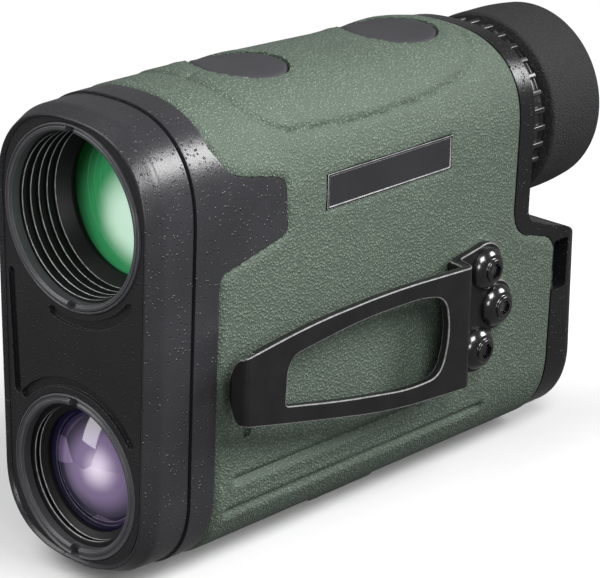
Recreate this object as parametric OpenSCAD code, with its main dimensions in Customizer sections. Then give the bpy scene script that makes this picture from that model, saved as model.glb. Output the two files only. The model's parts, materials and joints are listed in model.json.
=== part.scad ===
// Pocket laser rangefinder: two stacked lenses, rubber armour, belt clip and twist-up eyecup.
// Front faces -Y, the clip side is +X, and the mouth of the tripod socket is the origin.

/* [Body] */
// Half width of the armoured body
body_half_w = 18.8; // [18.7:0.1:19.2]
// How much narrower each side is at the lower lens
lower_taper = 1.0; // [0.8:0.1:1.2]
// Height of the body's top above the upper lens axis, at the front
crown_h = 18.2; // [18.1:0.1:18.4]
// Depth of the body below the lower lens axis
keel_h = 16.5; // [16.3:0.1:16.8]
// Squareness of the rounded top and bottom
roundness = 2.5; // [2.4:0.1:2.7]
// Thickness of the rubber armour
armour_t = 2.0; // [1.9:0.05:2.1]
// Wall of the moulded housings
wall_t = 1.6; // [1.5:0.05:1.7]

/* [Axes] */
// Height of the lower lens axis above the tripod socket's mouth
laser_axis_h = 18; // [17.9:0.1:18.2]
// Distance between the two lens axes
lens_pitch = 43.8; // [43.5:0.1:44]
// Height of the eyepiece axis above the lower lens axis
eye_rise = 41.4; // [41.2:0.1:41.6]
// Distance of the tripod socket behind the front rim
socket_back = 57; // [56.5:0.5:57.5]

/* [Lenses] */
// Outer radius of the upper retaining ring
objective_ring_r = 15.3; // [15.2:0.05:15.4]
// Radius of the upper lens
objective_r = 12.5; // [12.3:0.1:12.6]
// Depth of the upper lens behind the front rim
objective_back = 13.7; // [13.5:0.1:14.5]
// Outer radius of the lower retaining ring
receiver_ring_r = 14.0; // [13.8:0.05:14.1]
// Radius of the lower lens
receiver_r = 10.6; // [10.4:0.1:10.7]
// Depth of the lower lens's rim behind the front rim
receiver_back = 5.0; // [4.8:0.1:5.4]

/* [Eyepiece] */
// Outer radius of the fixed eyepiece tube
eye_tube_r = 13.0; // [12.9:0.05:13.05]
// Radius of the dioptre ring over its lugs
dioptre_r = 16.2; // [16:0.1:16.4]
// Number of lugs round the dioptre ring
dioptre_lugs = 32; // [28:1:36]
// Radius of the rubber eyecup
eyecup_r = 16.9; // [16.8:0.1:17.2]
// Distance from the front rim to the back of the eyecup
overall_l = 114; // [113.8:0.1:114.5]

/* [Clip and screws] */
// Thickness of the clip's steel
clip_t = 1.5; // [1.4:0.05:1.6]
// Gap between the clip's arm and the armour
belt_gap = 3.8; // [3.7:0.1:4.1]
// Radius of a clip screw's head
screw_head_r = 3.8; // [3.6:0.1:3.8]
// Radius of a clip screw's shank
screw_r = 1.95; // [1.9:0.05:1.95]

/* [Battery] */
// Radius of the battery cell
cell_r = 7.75; // [7.6:0.05:7.8]
// Length of the battery cell
cell_l = 27; // [26.5:0.1:27]
// Height of the battery's axis above the lower lens axis
cell_rise = 3; // [2.5:0.1:3.5]

/* [Hidden] */
$fn = 64;
fit_gap = 0.1;
run_gap = 0.05;
far = 60;
lens_side_steps = 22;

// Stations along the body, measured back from the front rim
lip_end = 3;
bezel_end = 9.2;
band_end = 14.6;
sleeve_end = 28;
chassis_start = 28.2;
chassis_end = 86;
armour_end = 99.7;
upper_back = 91.5;
hump_back = 107.4;
armour_inset = armour_t;
chassis_inset = armour_t + fit_gap;
inner_inset = chassis_inset + wall_t;
deck_top = 60.7;
chassis_top = 58.2;

// Buttons: distance back, height of the cap's top, and half length across the body
menu_back = 37.7;
measure_back = 74.6;
menu_top = 61.9;
measure_top = 60.9;
button_r = 7.7;
button_tip = 12.5;

// Clip screws, as distance back and height above the lower lens axis
screw_spots = [[77.6, 21.4], [80.6, 13.9], [76.0, 7.1]];
// Screws that hold the rear housing on, as distance to the side and height
screw_posts = [[12.6, 23.6], [-12.6, 23.6], [9.2, -8.4], [-9.2, -8.4]];
clip_base_x = body_half_w + fit_gap;
arm_x = body_half_w + belt_gap;
arm_front = 15.2;
arm_back = 69;
boss_half_l = 9.4;
boss_half_w = 8;

// Badge plate on the clip side
badge_front = 38.6;
badge_l = 30.7;

// Eyepiece stations
collar_end = 93.2;
dioptre_start = 93.6;
dioptre_end = 97.8;
eyecup_start = 99.2;
eye_tube_end = 109.9;

// Moves work drawn from the front rim and the lower lens axis to the part's own frame.
module from_front() translate([0, -socket_back, laser_axis_h]) children();

function sign_of(v) = v < 0 ? -1 : 1;
// One point of a rounded, slightly square end: a is the angle, w and h its half width and height.
function round_point(a, w, h) = [
    w * sign_of(cos(a)) * pow(abs(cos(a)), 2 / roundness),
    h * sign_of(sin(a)) * pow(abs(sin(a)), 2 / roundness)
];
function round_end(a0, w, h, z) = [
    for (i = [0 : 2 * lens_side_steps])
        let (p = round_point(a0 + 90 * i / lens_side_steps, w, h)) [p[0], z + p[1]]
];

// The body's cross-section, drawn in by `side` at the flanks and by `ends` at the top and bottom.
module section(side = 0, ends = undef) {
    in_ends = is_undef(ends) ? side : ends;
    w = body_half_w - side;
    top = round_end(0, w, crown_h - in_ends, lens_pitch);
    bottom = round_end(180, w - lower_taper, keel_h - in_ends, 0);
    polygon(concat(top, [[-w, lens_pitch * 0.65]], bottom, [[w, lens_pitch * 0.65]]));
}

module along_y(y0, y1) translate([0, y1, 0]) rotate([90, 0, 0]) linear_extrude(y1 - y0) children();
module along_x(x0, x1) translate([x0, 0, 0]) rotate([90, 0, 90]) linear_extrude(x1 - x0) children();
module rod_y(r, y0, y1, z = 0, x = 0) translate([x, y0, z]) rotate([-90, 0, 0]) cylinder(r = r, h = y1 - y0);
module rod_x(r, x0, x1, y, z) translate([x0, y, z]) rotate([0, 90, 0]) cylinder(r = r, h = x1 - x0);
module tube_y(r_out, r_in, y0, y1, z = 0) {
    difference() {
        rod_y(r_out, y0, y1, z);
        rod_y(r_in, y0 - 1, y1 + 1, z);
    }
}
module block(x0, x1, y0, y1, z0, z1) translate([x0, y0, z0]) cube([x1 - x0, y1 - y0, z1 - z0]);

function arc(cy, cz, r, a0, a1, steps = 6) = [
    for (i = [0 : steps]) let (a = a0 + (a1 - a0) * i / steps) [cy + r * cos(a), cz + r * sin(a)]
];

// Side view of the armour's outside: long sloping top, waist behind the eyepiece, lower hump.
function armour_side() = concat(
    [[band_end, -far], [band_end, crown_h + lens_pitch + 1], [38, crown_h + lens_pitch + 0.1]],
    [[50, deck_top + 0.5], [64, deck_top], [82, deck_top - 0.1], [86.6, deck_top - 0.9]],
    arc(93.2, 28.6, 5.7, 180, 270), arc(95.6, 17.8, 4.1, 80, 0), [[armour_end, -far]]
);
// Side view of the rear housing's outside.
function rear_side() = concat(
    [[chassis_end + 0.2, far + 20], [upper_back, far + 20]],
    arc(95, 28.2, 3.5, 180, 270), arc(102.9, 18.3, 4.5, 80, 0), arc(102.4, -11.5, 5, 0, -90),
    [[102.4, -far], [chassis_end + 0.2, -far]]
);
// The rear housing's hollow, a wall thinner than its outside.
function rear_hollow_side() = concat(
    [[chassis_end, far + 20], [upper_back - wall_t, far + 20], [upper_back - wall_t, 26]],
    [[95, 22.5], [98, 21.5], [98, 9], [104.2, 9], [104.2, -11], [101, -14.5], [chassis_end, -14.5]]
);

// Plan view of the body's rear, with its two upright corners rounded.
module rear_plan(r = 4) {
    w = body_half_w;
    polygon(concat(
        [[w, 80]], [for (p = arc(w - r, hump_back - r, r, 0, 90)) p],
        [for (p = arc(r - w, hump_back - r, r, 90, 180)) p], [[-w, 80]]
    ));
}

// Outline of the black tab that reaches back on each side, grown by `g`.
module tab_outline(g = 0) {
    polygon([
        [band_end - 2, 34.6 - g], [band_end + 1.5, 36.2 - g], [29.6 + g, 38.8 - g],
        [29 + g, 47.6 + g], [28 + g, 48.6 + g], [16.4, 51.4 + g], [band_end - 2, 54 + g]
    ]);
}

// A button's outline in plan: round at the clip side, drawn out to a tip at the far side.
module button_outline(g = 0) {
    flank = [for (t = [0.12 : 0.11 : 1]) [-(button_tip + g) * t, (button_r + g) * (1 - pow(t, 1.7))]];
    back = [for (i = [len(flank) - 1 : -1 : 0]) [flank[i][0], -flank[i][1]]];
    polygon(concat(arc(0, 0, button_r + g, -90, 90, 24), flank, back));
}

module front_bezel() {
    color("#2b2b2e") from_front() difference() {
        union() {
            along_y(0, 1) section(2.3, 0.9);
            along_y(1, 2) section(1.7, 0.4);
            along_y(2, lip_end) section(1.3, 0.15);
            along_y(lip_end, bezel_end) section(0.7, 0);
        }
        along_y(-1, bezel_end + 1) section(2.75, 1.9);
    }
}

module front_face_plate() {
    color("#26262a") from_front() difference() {
        along_y(0.3, 3.5) section(2.75 + fit_gap, 1.9 + fit_gap);
        rod_y(objective_ring_r + fit_gap, -1, 5, lens_pitch);
        rod_y(receiver_ring_r + fit_gap, -1, 5);
    }
}

module front_housing() {
    color("#303034") from_front() difference() {
        union() {
            along_y(bezel_end, band_end) section(0.35, 0.05);
            along_y(band_end - 1, sleeve_end) section(armour_t - 0.3);
            intersection() {
                along_y(band_end - 1, sleeve_end + 2) section(0.2);
                along_x(-far, far) tab_outline();
                difference() {
                    block(-far, far, 0, far, 0, far);
                    block(-16.9, 16.9, -1, far + 1, -1, far + 1);
                }
            }
        }
        // Hollow, leaving a bulkhead that holds the two lens barrels
        difference() {
            along_y(bezel_end - 1, far) section(3.0, 2.5);
            along_y(10, 13) section(2.8, 2.3);
        }
        rod_y(objective_ring_r - 0.3, 0, far, lens_pitch);
        rod_y(receiver_ring_r - 0.3, 0, far);
    }
}

module main_housing() {
    color("#3a3a3d") from_front() difference() {
        union() {
            difference() {
                intersection() {
                    along_y(chassis_start, chassis_end) section(chassis_inset);
                    block(-far, far, 0, 2 * far, -far, chassis_top);
                }
                intersection() {
                    along_y(chassis_start - 1, chassis_end - 2) section(inner_inset);
                    block(-far, far, 0, 2 * far, -far, chassis_top - wall_t);
                }
            }
            // Boss for the tripod insert
            translate([0, socket_back, -keel_h + 0.2]) cylinder(r = 7.6, h = 7.8);
            // Bosses for the clip's screws
            for (s = screw_spots) rod_x(4.0, 10.6, 15.3, s[0], s[1]);
        }
        translate([0, socket_back, -keel_h - 2]) cylinder(r = 5.6, h = 20);
        for (s = screw_spots) rod_x(2.9, 11, 30, s[0], s[1]);
        // Openings for the two buttons, and in the rear bulkhead for the eyepiece and battery
        for (b = [menu_back, measure_back])
            translate([0, b, 45]) linear_extrude(20) button_outline(0.35);
        rod_y(eye_tube_r + fit_gap, chassis_end - 3, chassis_end + 1, eye_rise);
        rod_y(9.1, chassis_end - 3, chassis_end + 1, cell_rise);
        for (p = screw_posts) rod_y(1.2, chassis_end - 3, chassis_end + 1, p[1], p[0]);
    }
}

module rear_housing() {
    color("#2c2c2f") from_front() difference() {
        union() {
            difference() {
                intersection() {
                    along_y(chassis_end + 0.2, hump_back) section(0.2, 0.1);
                    along_x(-far, far) polygon(rear_side());
                    translate([0, 0, -far]) linear_extrude(2 * far) rear_plan();
                    block(-far, far, 0, 2 * far, -far, deck_top - 1.1);
                }
                // Step for the armour's edge
                difference() {
                    along_x(-far, far) polygon(armour_side());
                    along_y(0, 2 * far) section(chassis_inset);
                }
                block(-far, far, 0, 88.2, chassis_top, far + 20);
                intersection() {
                    along_y(0, 2 * far) section(inner_inset);
                    union() {
                        along_x(-11.4, 11.4) polygon(rear_hollow_side());
                        block(-far, far, 0, upper_back - wall_t, -keel_h + 2, far);
                    }
                    block(-far, far, 0, 2 * far, -far, chassis_top - wall_t);
                }
            }
            tube_y(dioptre_r + 0.1, eye_tube_r + fit_gap, upper_back - 0.5, collar_end, eye_rise);
            for (p = screw_posts) rod_y(2.3, chassis_end + 0.3, upper_back - wall_t + 0.5, p[1], p[0]);
        }
        rod_y(eye_tube_r + fit_gap, 80, far * 2, eye_rise);
        for (p = screw_posts) rod_y(1.1, chassis_end, 89.9, p[1], p[0]);
        // Battery port, with a counterbore for the cap
        rod_y(9.2, 90, far * 2, cell_rise);
        rod_y(11.3, 105.0, far * 2, cell_rise);
        // Lanyard slot round the clip-side corner
        block(12.4, far, 99.4, 103.7, 10.8, 20.2);
        block(12.4, 15.0, 99.4, far * 2, 10.8, 20.2);
    }
}

module rubber_armour() {
    color("#5b6f5a") from_front() difference() {
        union() {
            intersection() {
                along_y(band_end + fit_gap, armour_end) section();
                along_x(-far, far) polygon(armour_side());
            }
            // Boss round the tripod socket
            block(
                -boss_half_w, boss_half_w, socket_back - boss_half_l, socket_back + boss_half_l,
                -laser_axis_h, -keel_h + 3
            );
        }
        // Space for the housings inside
        along_y(0, sleeve_end + 0.1) section(armour_t - 0.4);
        intersection() {
            along_y(sleeve_end, 2 * far) section(armour_inset);
            block(-far, far, 0, 2 * far, -far, chassis_top + fit_gap);
        }
        translate([0, socket_back, -keel_h + fit_gap]) cylinder(r = 7.7, h = 20);
        translate([0, socket_back, -far]) cylinder(r = 5.6, h = far);
        // Black tabs on both sides
        difference() {
            along_x(-far, far) tab_outline(fit_gap);
            block(-15, 15, 0, far, 0, far);
        }
        for (b = [menu_back, measure_back])
            translate([0, b, 45]) linear_extrude(20) button_outline(0.35);
        block(body_half_w - 0.8, far, badge_front - 0.1, badge_front + badge_l + 0.1, 40.6, 46.8);
        for (s = screw_spots) rod_x(2.6, 15, 30, s[0], s[1]);
        // Long flutes low on both sides
        for (side = [-1, 1]) {
            translate([side * (body_half_w - 0.1), 19.5, -0.9]) rotate([-90, 0, 0]) cylinder(r = 1, h = 45);
            translate([side * (body_half_w - 1.2), 18.5, -6.4]) rotate([-90, 0, 0]) cylinder(r = 1, h = 63);
        }
    }
}

module side_badge() {
    color("#3c3c40") from_front() {
        block(body_half_w - 0.7, body_half_w + 0.25, badge_front, badge_front + badge_l, 40.7, 46.7);
    }
}

// A lens barrel: ring seat at the mouth, anti-glare ridges, then a seat for the lens.
module lens_barrel(r_out, mouth_r, ridge_r, ridges, pitch, ridges_from, seat_r, seat_from, end) {
    difference() {
        union() {
            rod_y(mouth_r, 2.2, bezel_end - 0.2);
            rod_y(r_out, bezel_end - 0.3, end);
        }
        rod_y(ridge_r, 0, seat_from + 0.01);
        rod_y(seat_r, seat_from, end - 1.5);
        rod_y(seat_r - 1.2, 0, end + 1);
        for (i = [0 : ridges - 1]) rod_y(ridge_r + 0.5, ridges_from + i * pitch, ridges_from + (i + 0.6) * pitch);
    }
}

// A threaded ring with two notches for a spanner.
module notched_ring(r_out, r_in, y0, y1) {
    difference() {
        rod_y(r_out, y0, y1);
        rod_y(r_in, y0 - 1, y1 + 1);
        block(-0.9, 0.9, y0 - 1, y0 + 1.2, -r_out - 1, r_out + 1);
    }
}

module objective_barrel() {
    color("#1d1d20") from_front() translate([0, 0, lens_pitch])
        lens_barrel(
            objective_ring_r - 0.4, objective_ring_r, 13.5, 5, 1.9, 2.6,
            objective_r + 0.1, objective_back - 0.2, 24
        );
}

module objective_retaining_ring() {
    color("#232327") from_front() translate([0, 0, lens_pitch])
        notched_ring(objective_ring_r, 13.9, 0, 2.1);
}

// A thick lens with a rounded front; `bulge` is how far the middle stands ahead of the rim.
module lens(r, thick, bulge) {
    ball_r = (r * r + bulge * bulge) / (2 * bulge);
    intersection() {
        rod_y(r, -bulge - 1, thick);
        translate([0, ball_r - bulge, 0]) sphere(r = ball_r, $fn = 180);
    }
}

module objective_lens() {
    color("#3f9a5c") from_front() translate([0, objective_back, lens_pitch]) lens(objective_r, 5, 1.6);
}

module receiver_barrel() {
    color("#1d1d20") from_front()
        lens_barrel(
            receiver_ring_r - 0.4, receiver_ring_r, 11.7, 1, 1.6, 2.6,
            receiver_r + 0.1, receiver_back - 0.2, 27
        );
}

module receiver_retaining_ring() {
    color("#232327") from_front() notched_ring(receiver_ring_r, 12.2, 0.2, 2.1);
}

module receiver_lens() {
    color("#8a7aa5") from_front() translate([0, receiver_back, 0]) lens(receiver_r, 4, 3.0);
}

module photodiode_board() {
    color("#2f6b3a") from_front() {
        block(-9, 9, 30, 31.2, -9, 9);
        rod_y(4.1, 27.2, 30.01);
    }
}

module prism_holder() {
    color("#55565a") from_front() difference() {
        block(-12.5, 12.5, 42, 71, 29.5, 50.2);
        block(-10.8, 10.8, 43.6, 69.4, 31, 51);
        rod_y(9.4, 40, 80, eye_rise + 0.6);
        translate([0, 56, 20]) cylinder(r = 4.6, h = 15);
    }
}

module roof_prism() {
    color("#c9d8dc") from_front() along_x(-10.4, 10.4)
        polygon([[44, 49.8], [44, 31.4], [54.4, 31.4], [61.5, 38.5], [50.2, 49.8]]);
}

module half_penta_prism() {
    color("#bccdd2") from_front() along_x(-10.4, 10.4)
        polygon([[69, 49.8], [69, 31.4], [56, 31.4], [62.4, 37.8], [62.4, 49.8]]);
}

module laser_diode_module() {
    color("#b08d57") from_front() {
        translate([0, 56, 22]) cylinder(r = 4.5, h = 9);
        block(-8, 8, 49, 63, 20.8, 22.01);
    }
}

module display_module() {
    color("#34506b") from_front() difference() {
        block(-10, 10, 73.5, 76.5, 31, 50);
        block(-6.5, 6.5, 70, 80, 35, 48);
    }
}

module main_circuit_board() {
    color("#2f6b3a") from_front() {
        block(-13.4, -12.2, 33, 81, -2, 25);
        block(-12.21, -10.6, 38, 47, 8, 17);
        block(-12.21, -11.0, 52, 58, 0, 5);
        block(-12.21, -10.4, 60, 67, 14, 22);
    }
}

module button_board() {
    color("#2f6b3a") from_front() block(-8.5, 8.5, 32, 82, 51, 52);
}

module dome_switches() {
    color("silver") from_front() for (b = [menu_back, measure_back]) {
        translate([3, b, 52.05]) cylinder(r = 2.6, h = 0.4);
        translate([3, b, 52.4]) cylinder(r = 1.6, h = 0.3);
    }
}

// A button: drawn-out cap through the armour, flange under the housing, and a plunger.
module push_button(b, top) {
    floor_z = chassis_top - wall_t - fit_gap;
    intersection() {
        translate([0, b, floor_z - 0.1]) linear_extrude(top - floor_z + 0.1) button_outline();
        along_y(b - 10, b + 10) section(-0.2);
    }
    intersection() {
        translate([0, b, floor_z - 1.1]) linear_extrude(1.1) button_outline(0.9);
        block(-8.6, 8.6, b - 10, b + 10, 50, 60);
    }
    translate([3, b, 53.8]) cylinder(r = 1.6, h = floor_z - 54.2);
}
module menu_button() {
    color("#3b3b40") from_front() push_button(menu_back, menu_top);
}
module measure_button() {
    color("#3b3b40") from_front() push_button(measure_back, measure_top);
}

module eyepiece_tube() {
    color("#232327") from_front() difference() {
        union() {
            rod_y(eye_tube_r, chassis_end - 1.9, eye_tube_end, eye_rise);
            rod_y(15.0, chassis_end + 0.3, chassis_end + 2, eye_rise);
        }
        rod_y(11.6, 80, far * 2, eye_rise);
    }
}

module dioptre_ring() {
    color("#28282c") from_front() translate([0, 0, eye_rise]) difference() {
        union() {
            rod_y(dioptre_r - 0.8, dioptre_start, dioptre_end);
            for (i = [0 : dioptre_lugs - 1]) rotate([0, i * 360 / dioptre_lugs, 0])
                block(-0.65, 0.65, dioptre_start + 0.4, dioptre_end - 0.4, dioptre_r - 1.5, dioptre_r);
        }
        rod_y(eye_tube_r + run_gap, 90, 100);
    }
}

module ocular_cell() {
    color("#1d1d20") from_front() difference() {
        rod_y(11.6 - run_gap, 88, 108, eye_rise);
        rod_y(10.2, 89.5, 109, eye_rise);
        rod_y(8.8, 80, 110, eye_rise);
    }
}

module field_lens() {
    color("#cfe0e4") from_front() translate([0, 91, eye_rise]) lens(10.1, 3, 1.2);
}

module eye_lens() {
    color("#cfe0e4") from_front() translate([0, 106.5, eye_rise]) rotate([0, 0, 180]) lens(10.1, 3, 1.2);
}

module eyecup_guide_ring() {
    color("#232327") from_front() tube_y(14.5, eye_tube_r + run_gap, 98.4, 109.8, eye_rise);
}

module eyecup() {
    color("#2f2f33") from_front() translate([0, 0, eye_rise]) difference() {
        union() {
            rod_y(eyecup_r, eyecup_start, overall_l - 2);
            rod_y(eyecup_r - 0.6, overall_l - 2.01, overall_l - 1);
            rod_y(eyecup_r - 1.6, overall_l - 1.01, overall_l);
        }
        rod_y(14.5 + run_gap, 90, 110.3);
        rod_y(12.6, 90, 120);
    }
}

// Outline of the clip's arm from the side: wide at the back, narrow at the front end.
module arm_outline() {
    difference() {
        polygon([
            [arm_front, 23.0], [30, 25.0], [50, 25.6], [arm_back - 0.6, 24.6], [arm_back, 23.4],
            [arm_back - 0.9, 2.6], [50, 4.0], [30, 8.2], [arm_front, 12.0]
        ]);
        polygon([
            [26.4, 20.8], [40, 22.4], [58, 22.2], [61.8, 20.6], [64, 15.6],
            [63.2, 9], [60.6, 6.6], [50, 7.2], [30, 11.4], [24.4, 12.4], [23.8, 13.6], [24, 19.2]
        ]);
    }
}

module belt_clip() {
    color("#242427") from_front() difference() {
        union() {
            along_x(arm_x, arm_x + clip_t) arm_outline();
            // Front end: bent in towards the body, then flared out to a lip
            bent_tip(11.2, 22.8);
            // Step from the arm down to the base
            block(clip_base_x, arm_x + clip_t, arm_back - 0.6, arm_back + 0.9, 2.6, 24.6);
            block(clip_base_x, clip_base_x + clip_t, arm_back, 77, 2.8, 25.7);
            for (s = screw_spots) rod_x(screw_head_r + 0.5, clip_base_x, clip_base_x + clip_t, s[0], s[1]);
        }
        for (s = screw_spots) rod_x(screw_r + 0.2, 10, 30, s[0], s[1]);
    }
}

// The bent front end of the clip, drawn in plan and raised between two heights.
module bent_tip(z0, z1) {
    x_in = body_half_w + 0.35;
    translate([0, 0, z0]) linear_extrude(z1 - z0) polygon([
        [arm_x + clip_t, arm_front + 0.8], [arm_x, arm_front + 0.8], [x_in, arm_front + 1.0],
        [x_in, arm_front - 0.5], [x_in + 1.6, arm_front - 1.6], [x_in + 2.2, arm_front - 0.6],
        [arm_x + clip_t, arm_front - 0.5]
    ]);
}

// A button-head screw with its axis up: domed head on a plain shank, hexagon socket in the dome.
module button_head_screw(shank_l) {
    dome_h = 2.2;
    ball_r = 4.9;
    lean = asin(screw_head_r / ball_r);
    dome = [
        for (i = [0 : 6]) let (a = lean * (1 - i / 6))
            [ball_r * sin(a), dome_h + ball_r * (cos(a) - 1)]
    ];
    difference() {
        rotate_extrude() polygon(concat(
            [[0, -shank_l], [screw_r, -shank_l], [screw_r, 0], [screw_head_r, 0]], dome
        ));
        translate([0, 0, 0.8]) cylinder(r = 1.45, h = 3, $fn = 6);
    }
}

module clip_screws() {
    seat = clip_base_x + clip_t + 0.02;
    color("#1c1c1f") from_front() for (s = screw_spots)
        translate([seat, s[0], s[1]]) rotate([0, 90, 0]) button_head_screw(seat - 12.4);
}

module clip_screw_inserts() {
    color("#c2a14d") from_front() for (s = screw_spots) difference() {
        rod_x(2.8, 11.2, 15.6, s[0], s[1]);
        rod_x(screw_r + 0.1, 10, 20, s[0], s[1]);
    }
}

module tripod_insert() {
    color("#c2a14d") difference() {
        cylinder(r = 5.5, h = 8);
        translate([0, 0, -1]) cylinder(r = 3.2, h = 7.5);
    }
}

module battery_tube() {
    color("#4a4b50") from_front() difference() {
        rod_y(9.0, 71, 101, cell_rise);
        rod_y(cell_r + 0.35, 72.5, 102, cell_rise);
        rod_y(2, 70, 80, cell_rise);
    }
}

// The coiled contact at the battery's inner end, as a short cone of flat turns.
module battery_spring() {
    color("silver") from_front() translate([0, 72.6, cell_rise]) rotate([-90, 0, 0])
        for (i = [0 : 2]) translate([0, 0, i * 0.38])
            difference() {
                cylinder(r = 6 - i * 1.2, h = 0.38);
                translate([0, 0, -1]) cylinder(r = 4.6 - i * 1.2, h = 3);
            }
}

module battery() {
    color("#7d8085") from_front() {
        rod_y(cell_r, 73.9, 73.9 + cell_l - 1.2, cell_rise);
        rod_y(3.2, 73.9 + cell_l - 1.3, 73.9 + cell_l, cell_rise);
    }
}

module battery_cap() {
    color("#2b2b2e") from_front() translate([0, 0, cell_rise]) difference() {
        union() {
            rod_y(11.0, 105.2, 108.4);
            rod_y(8.9, 101.2, 105.3);
        }
        // Groove for the seal
        difference() {
            rod_y(12, 102.2, 104.4);
            rod_y(7.0, 102, 105);
        }
        // Coin slot
        block(-8, 8, 107.0, 110, -1, 1);
    }
}

module battery_cap_seal() {
    color("#151517") from_front() translate([0, 103.3, cell_rise]) rotate([-90, 0, 0])
        rotate_extrude() translate([8.12, 0]) circle(r = 0.98);
}

module housing_screws() {
    color("#8c8c90") from_front() for (p = screw_posts) {
        rod_y(1.9, chassis_end - 3.5, chassis_end - 2.05, p[1], p[0]);
        rod_y(1.0, chassis_end - 2.1, 89.6, p[1], p[0]);
    }
}

front_bezel();
front_face_plate();
front_housing();
main_housing();
rear_housing();
rubber_armour();
side_badge();
objective_barrel();
objective_retaining_ring();
objective_lens();
receiver_barrel();
receiver_retaining_ring();
receiver_lens();
photodiode_board();
prism_holder();
roof_prism();
half_penta_prism();
laser_diode_module();
display_module();
main_circuit_board();
button_board();
dome_switches();
menu_button();
measure_button();
eyepiece_tube();
dioptre_ring();
ocular_cell();
field_lens();
eye_lens();
eyecup_guide_ring();
eyecup();
belt_clip();
clip_screws();
clip_screw_inserts();
tripod_insert();
battery_tube();
battery_spring();
battery();
battery_cap();
battery_cap_seal();
housing_screws();
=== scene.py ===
"""Visual model of a pocket laser rangefinder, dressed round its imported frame.

Pieces are laid out in body measures: millimetres across from the middle plane, back from the
front rim and up from the lower lens axis. `place` turns those into the frame's metres.
"""

import json
import logging
import math
from contextlib import contextmanager
from dataclasses import dataclass
from enum import Enum
from typing import Iterator, Sequence

import bpy
import numpy as np
from mathutils import Matrix, Quaternion, Vector


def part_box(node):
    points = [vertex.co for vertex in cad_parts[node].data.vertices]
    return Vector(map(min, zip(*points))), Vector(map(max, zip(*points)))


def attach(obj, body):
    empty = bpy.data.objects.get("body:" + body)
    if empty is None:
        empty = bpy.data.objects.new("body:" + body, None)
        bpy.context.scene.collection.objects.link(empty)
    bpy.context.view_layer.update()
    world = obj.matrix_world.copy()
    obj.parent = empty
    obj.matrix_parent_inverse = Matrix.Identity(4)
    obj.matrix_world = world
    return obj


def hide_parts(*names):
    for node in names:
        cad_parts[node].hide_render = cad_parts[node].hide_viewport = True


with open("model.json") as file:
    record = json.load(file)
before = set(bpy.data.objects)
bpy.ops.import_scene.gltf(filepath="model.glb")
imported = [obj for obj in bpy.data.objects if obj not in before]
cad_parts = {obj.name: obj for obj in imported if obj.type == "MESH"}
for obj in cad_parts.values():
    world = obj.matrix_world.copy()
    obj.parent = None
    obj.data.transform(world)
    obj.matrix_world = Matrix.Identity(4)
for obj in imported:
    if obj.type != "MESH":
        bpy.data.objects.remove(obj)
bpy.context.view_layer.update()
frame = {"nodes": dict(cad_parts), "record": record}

LOG = logging.getLogger("rangefinder")
MM = 0.001

Outline = Sequence[Sequence[float]]
Spot = tuple[float, float, float]
Colour = tuple[float, float, float]
SHARP = 34.0
TINY = 1e-12


def middle(node: str) -> Vector:
    """Returns the centre of a CAD node's box, in metres."""
    low, high = (Vector(corner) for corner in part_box(node))
    return (low + high) / 2


FRONT_RIM = Vector(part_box("front_bezel")[0]).y
LOWER_AXIS = middle("receiver_lens").z
PITCH = (middle("objective_lens").z - LOWER_AXIS) / MM
EYE_RISE = (middle("eyecup").z - LOWER_AXIS) / MM


def back_of(metres: float) -> float:
    """Returns how far back from the front rim a place along Y is, in millimetres."""
    return (metres - FRONT_RIM) / MM


def rise_of(metres: float) -> float:
    """Returns how far above the lower lens axis a height is, in millimetres."""
    return (metres - LOWER_AXIS) / MM


def place(across: float, back: float, rise: float) -> Vector:
    """Turns body measures into a point of the frame, in metres."""
    return Vector((across * MM, FRONT_RIM + back * MM, LOWER_AXIS + rise * MM))


def place_all(points: np.ndarray) -> np.ndarray:
    """Turns an array of body measures into the frame's metres."""
    return points * MM + np.array([0.0, FRONT_RIM, LOWER_AXIS])


# ---------------------------------------------------------------- outlines


def rounded(corners: Outline, setback: float = 0.0, steps: int = 5) -> list[tuple[float, float]]:
    """Cuts the corners of a closed outline round.

    Args:
        corners: points of the outline; a third number is that corner's own setback.
        setback: how far along each edge the rounding starts where a corner names none.
        steps: number of pieces in each rounded corner.

    Returns:
        The outline's new points, in order.
    """
    result: list[tuple[float, float]] = []
    for index, corner in enumerate(corners):
        here = np.array(corner[:2], float)
        reach = corner[2] if len(corner) > 2 else setback
        to_last = np.array(corners[index - 1][:2], float) - here
        to_next = np.array(corners[(index + 1) % len(corners)][:2], float) - here
        last_len, next_len = np.hypot(*to_last), np.hypot(*to_next)
        reach = min(reach, 0.49 * last_len, 0.49 * next_len)
        if reach < 1e-3:
            result.append((float(here[0]), float(here[1])))
            continue
        start, end = here + to_last / last_len * reach, here + to_next / next_len * reach
        for step in range(steps + 1):
            t = step / steps
            spot = (1 - t) ** 2 * start + 2 * t * (1 - t) * here + t * t * end
            result.append((float(spot[0]), float(spot[1])))
    return result


def arc(centre: tuple[float, float], radius: float, start: float, end: float, steps: int) -> list:
    """Returns points along a circle from one angle to another, in degrees."""
    angles = np.radians(np.linspace(start, end, steps + 1))
    return [(centre[0] + radius * math.cos(a), centre[1] + radius * math.sin(a)) for a in angles]


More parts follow.
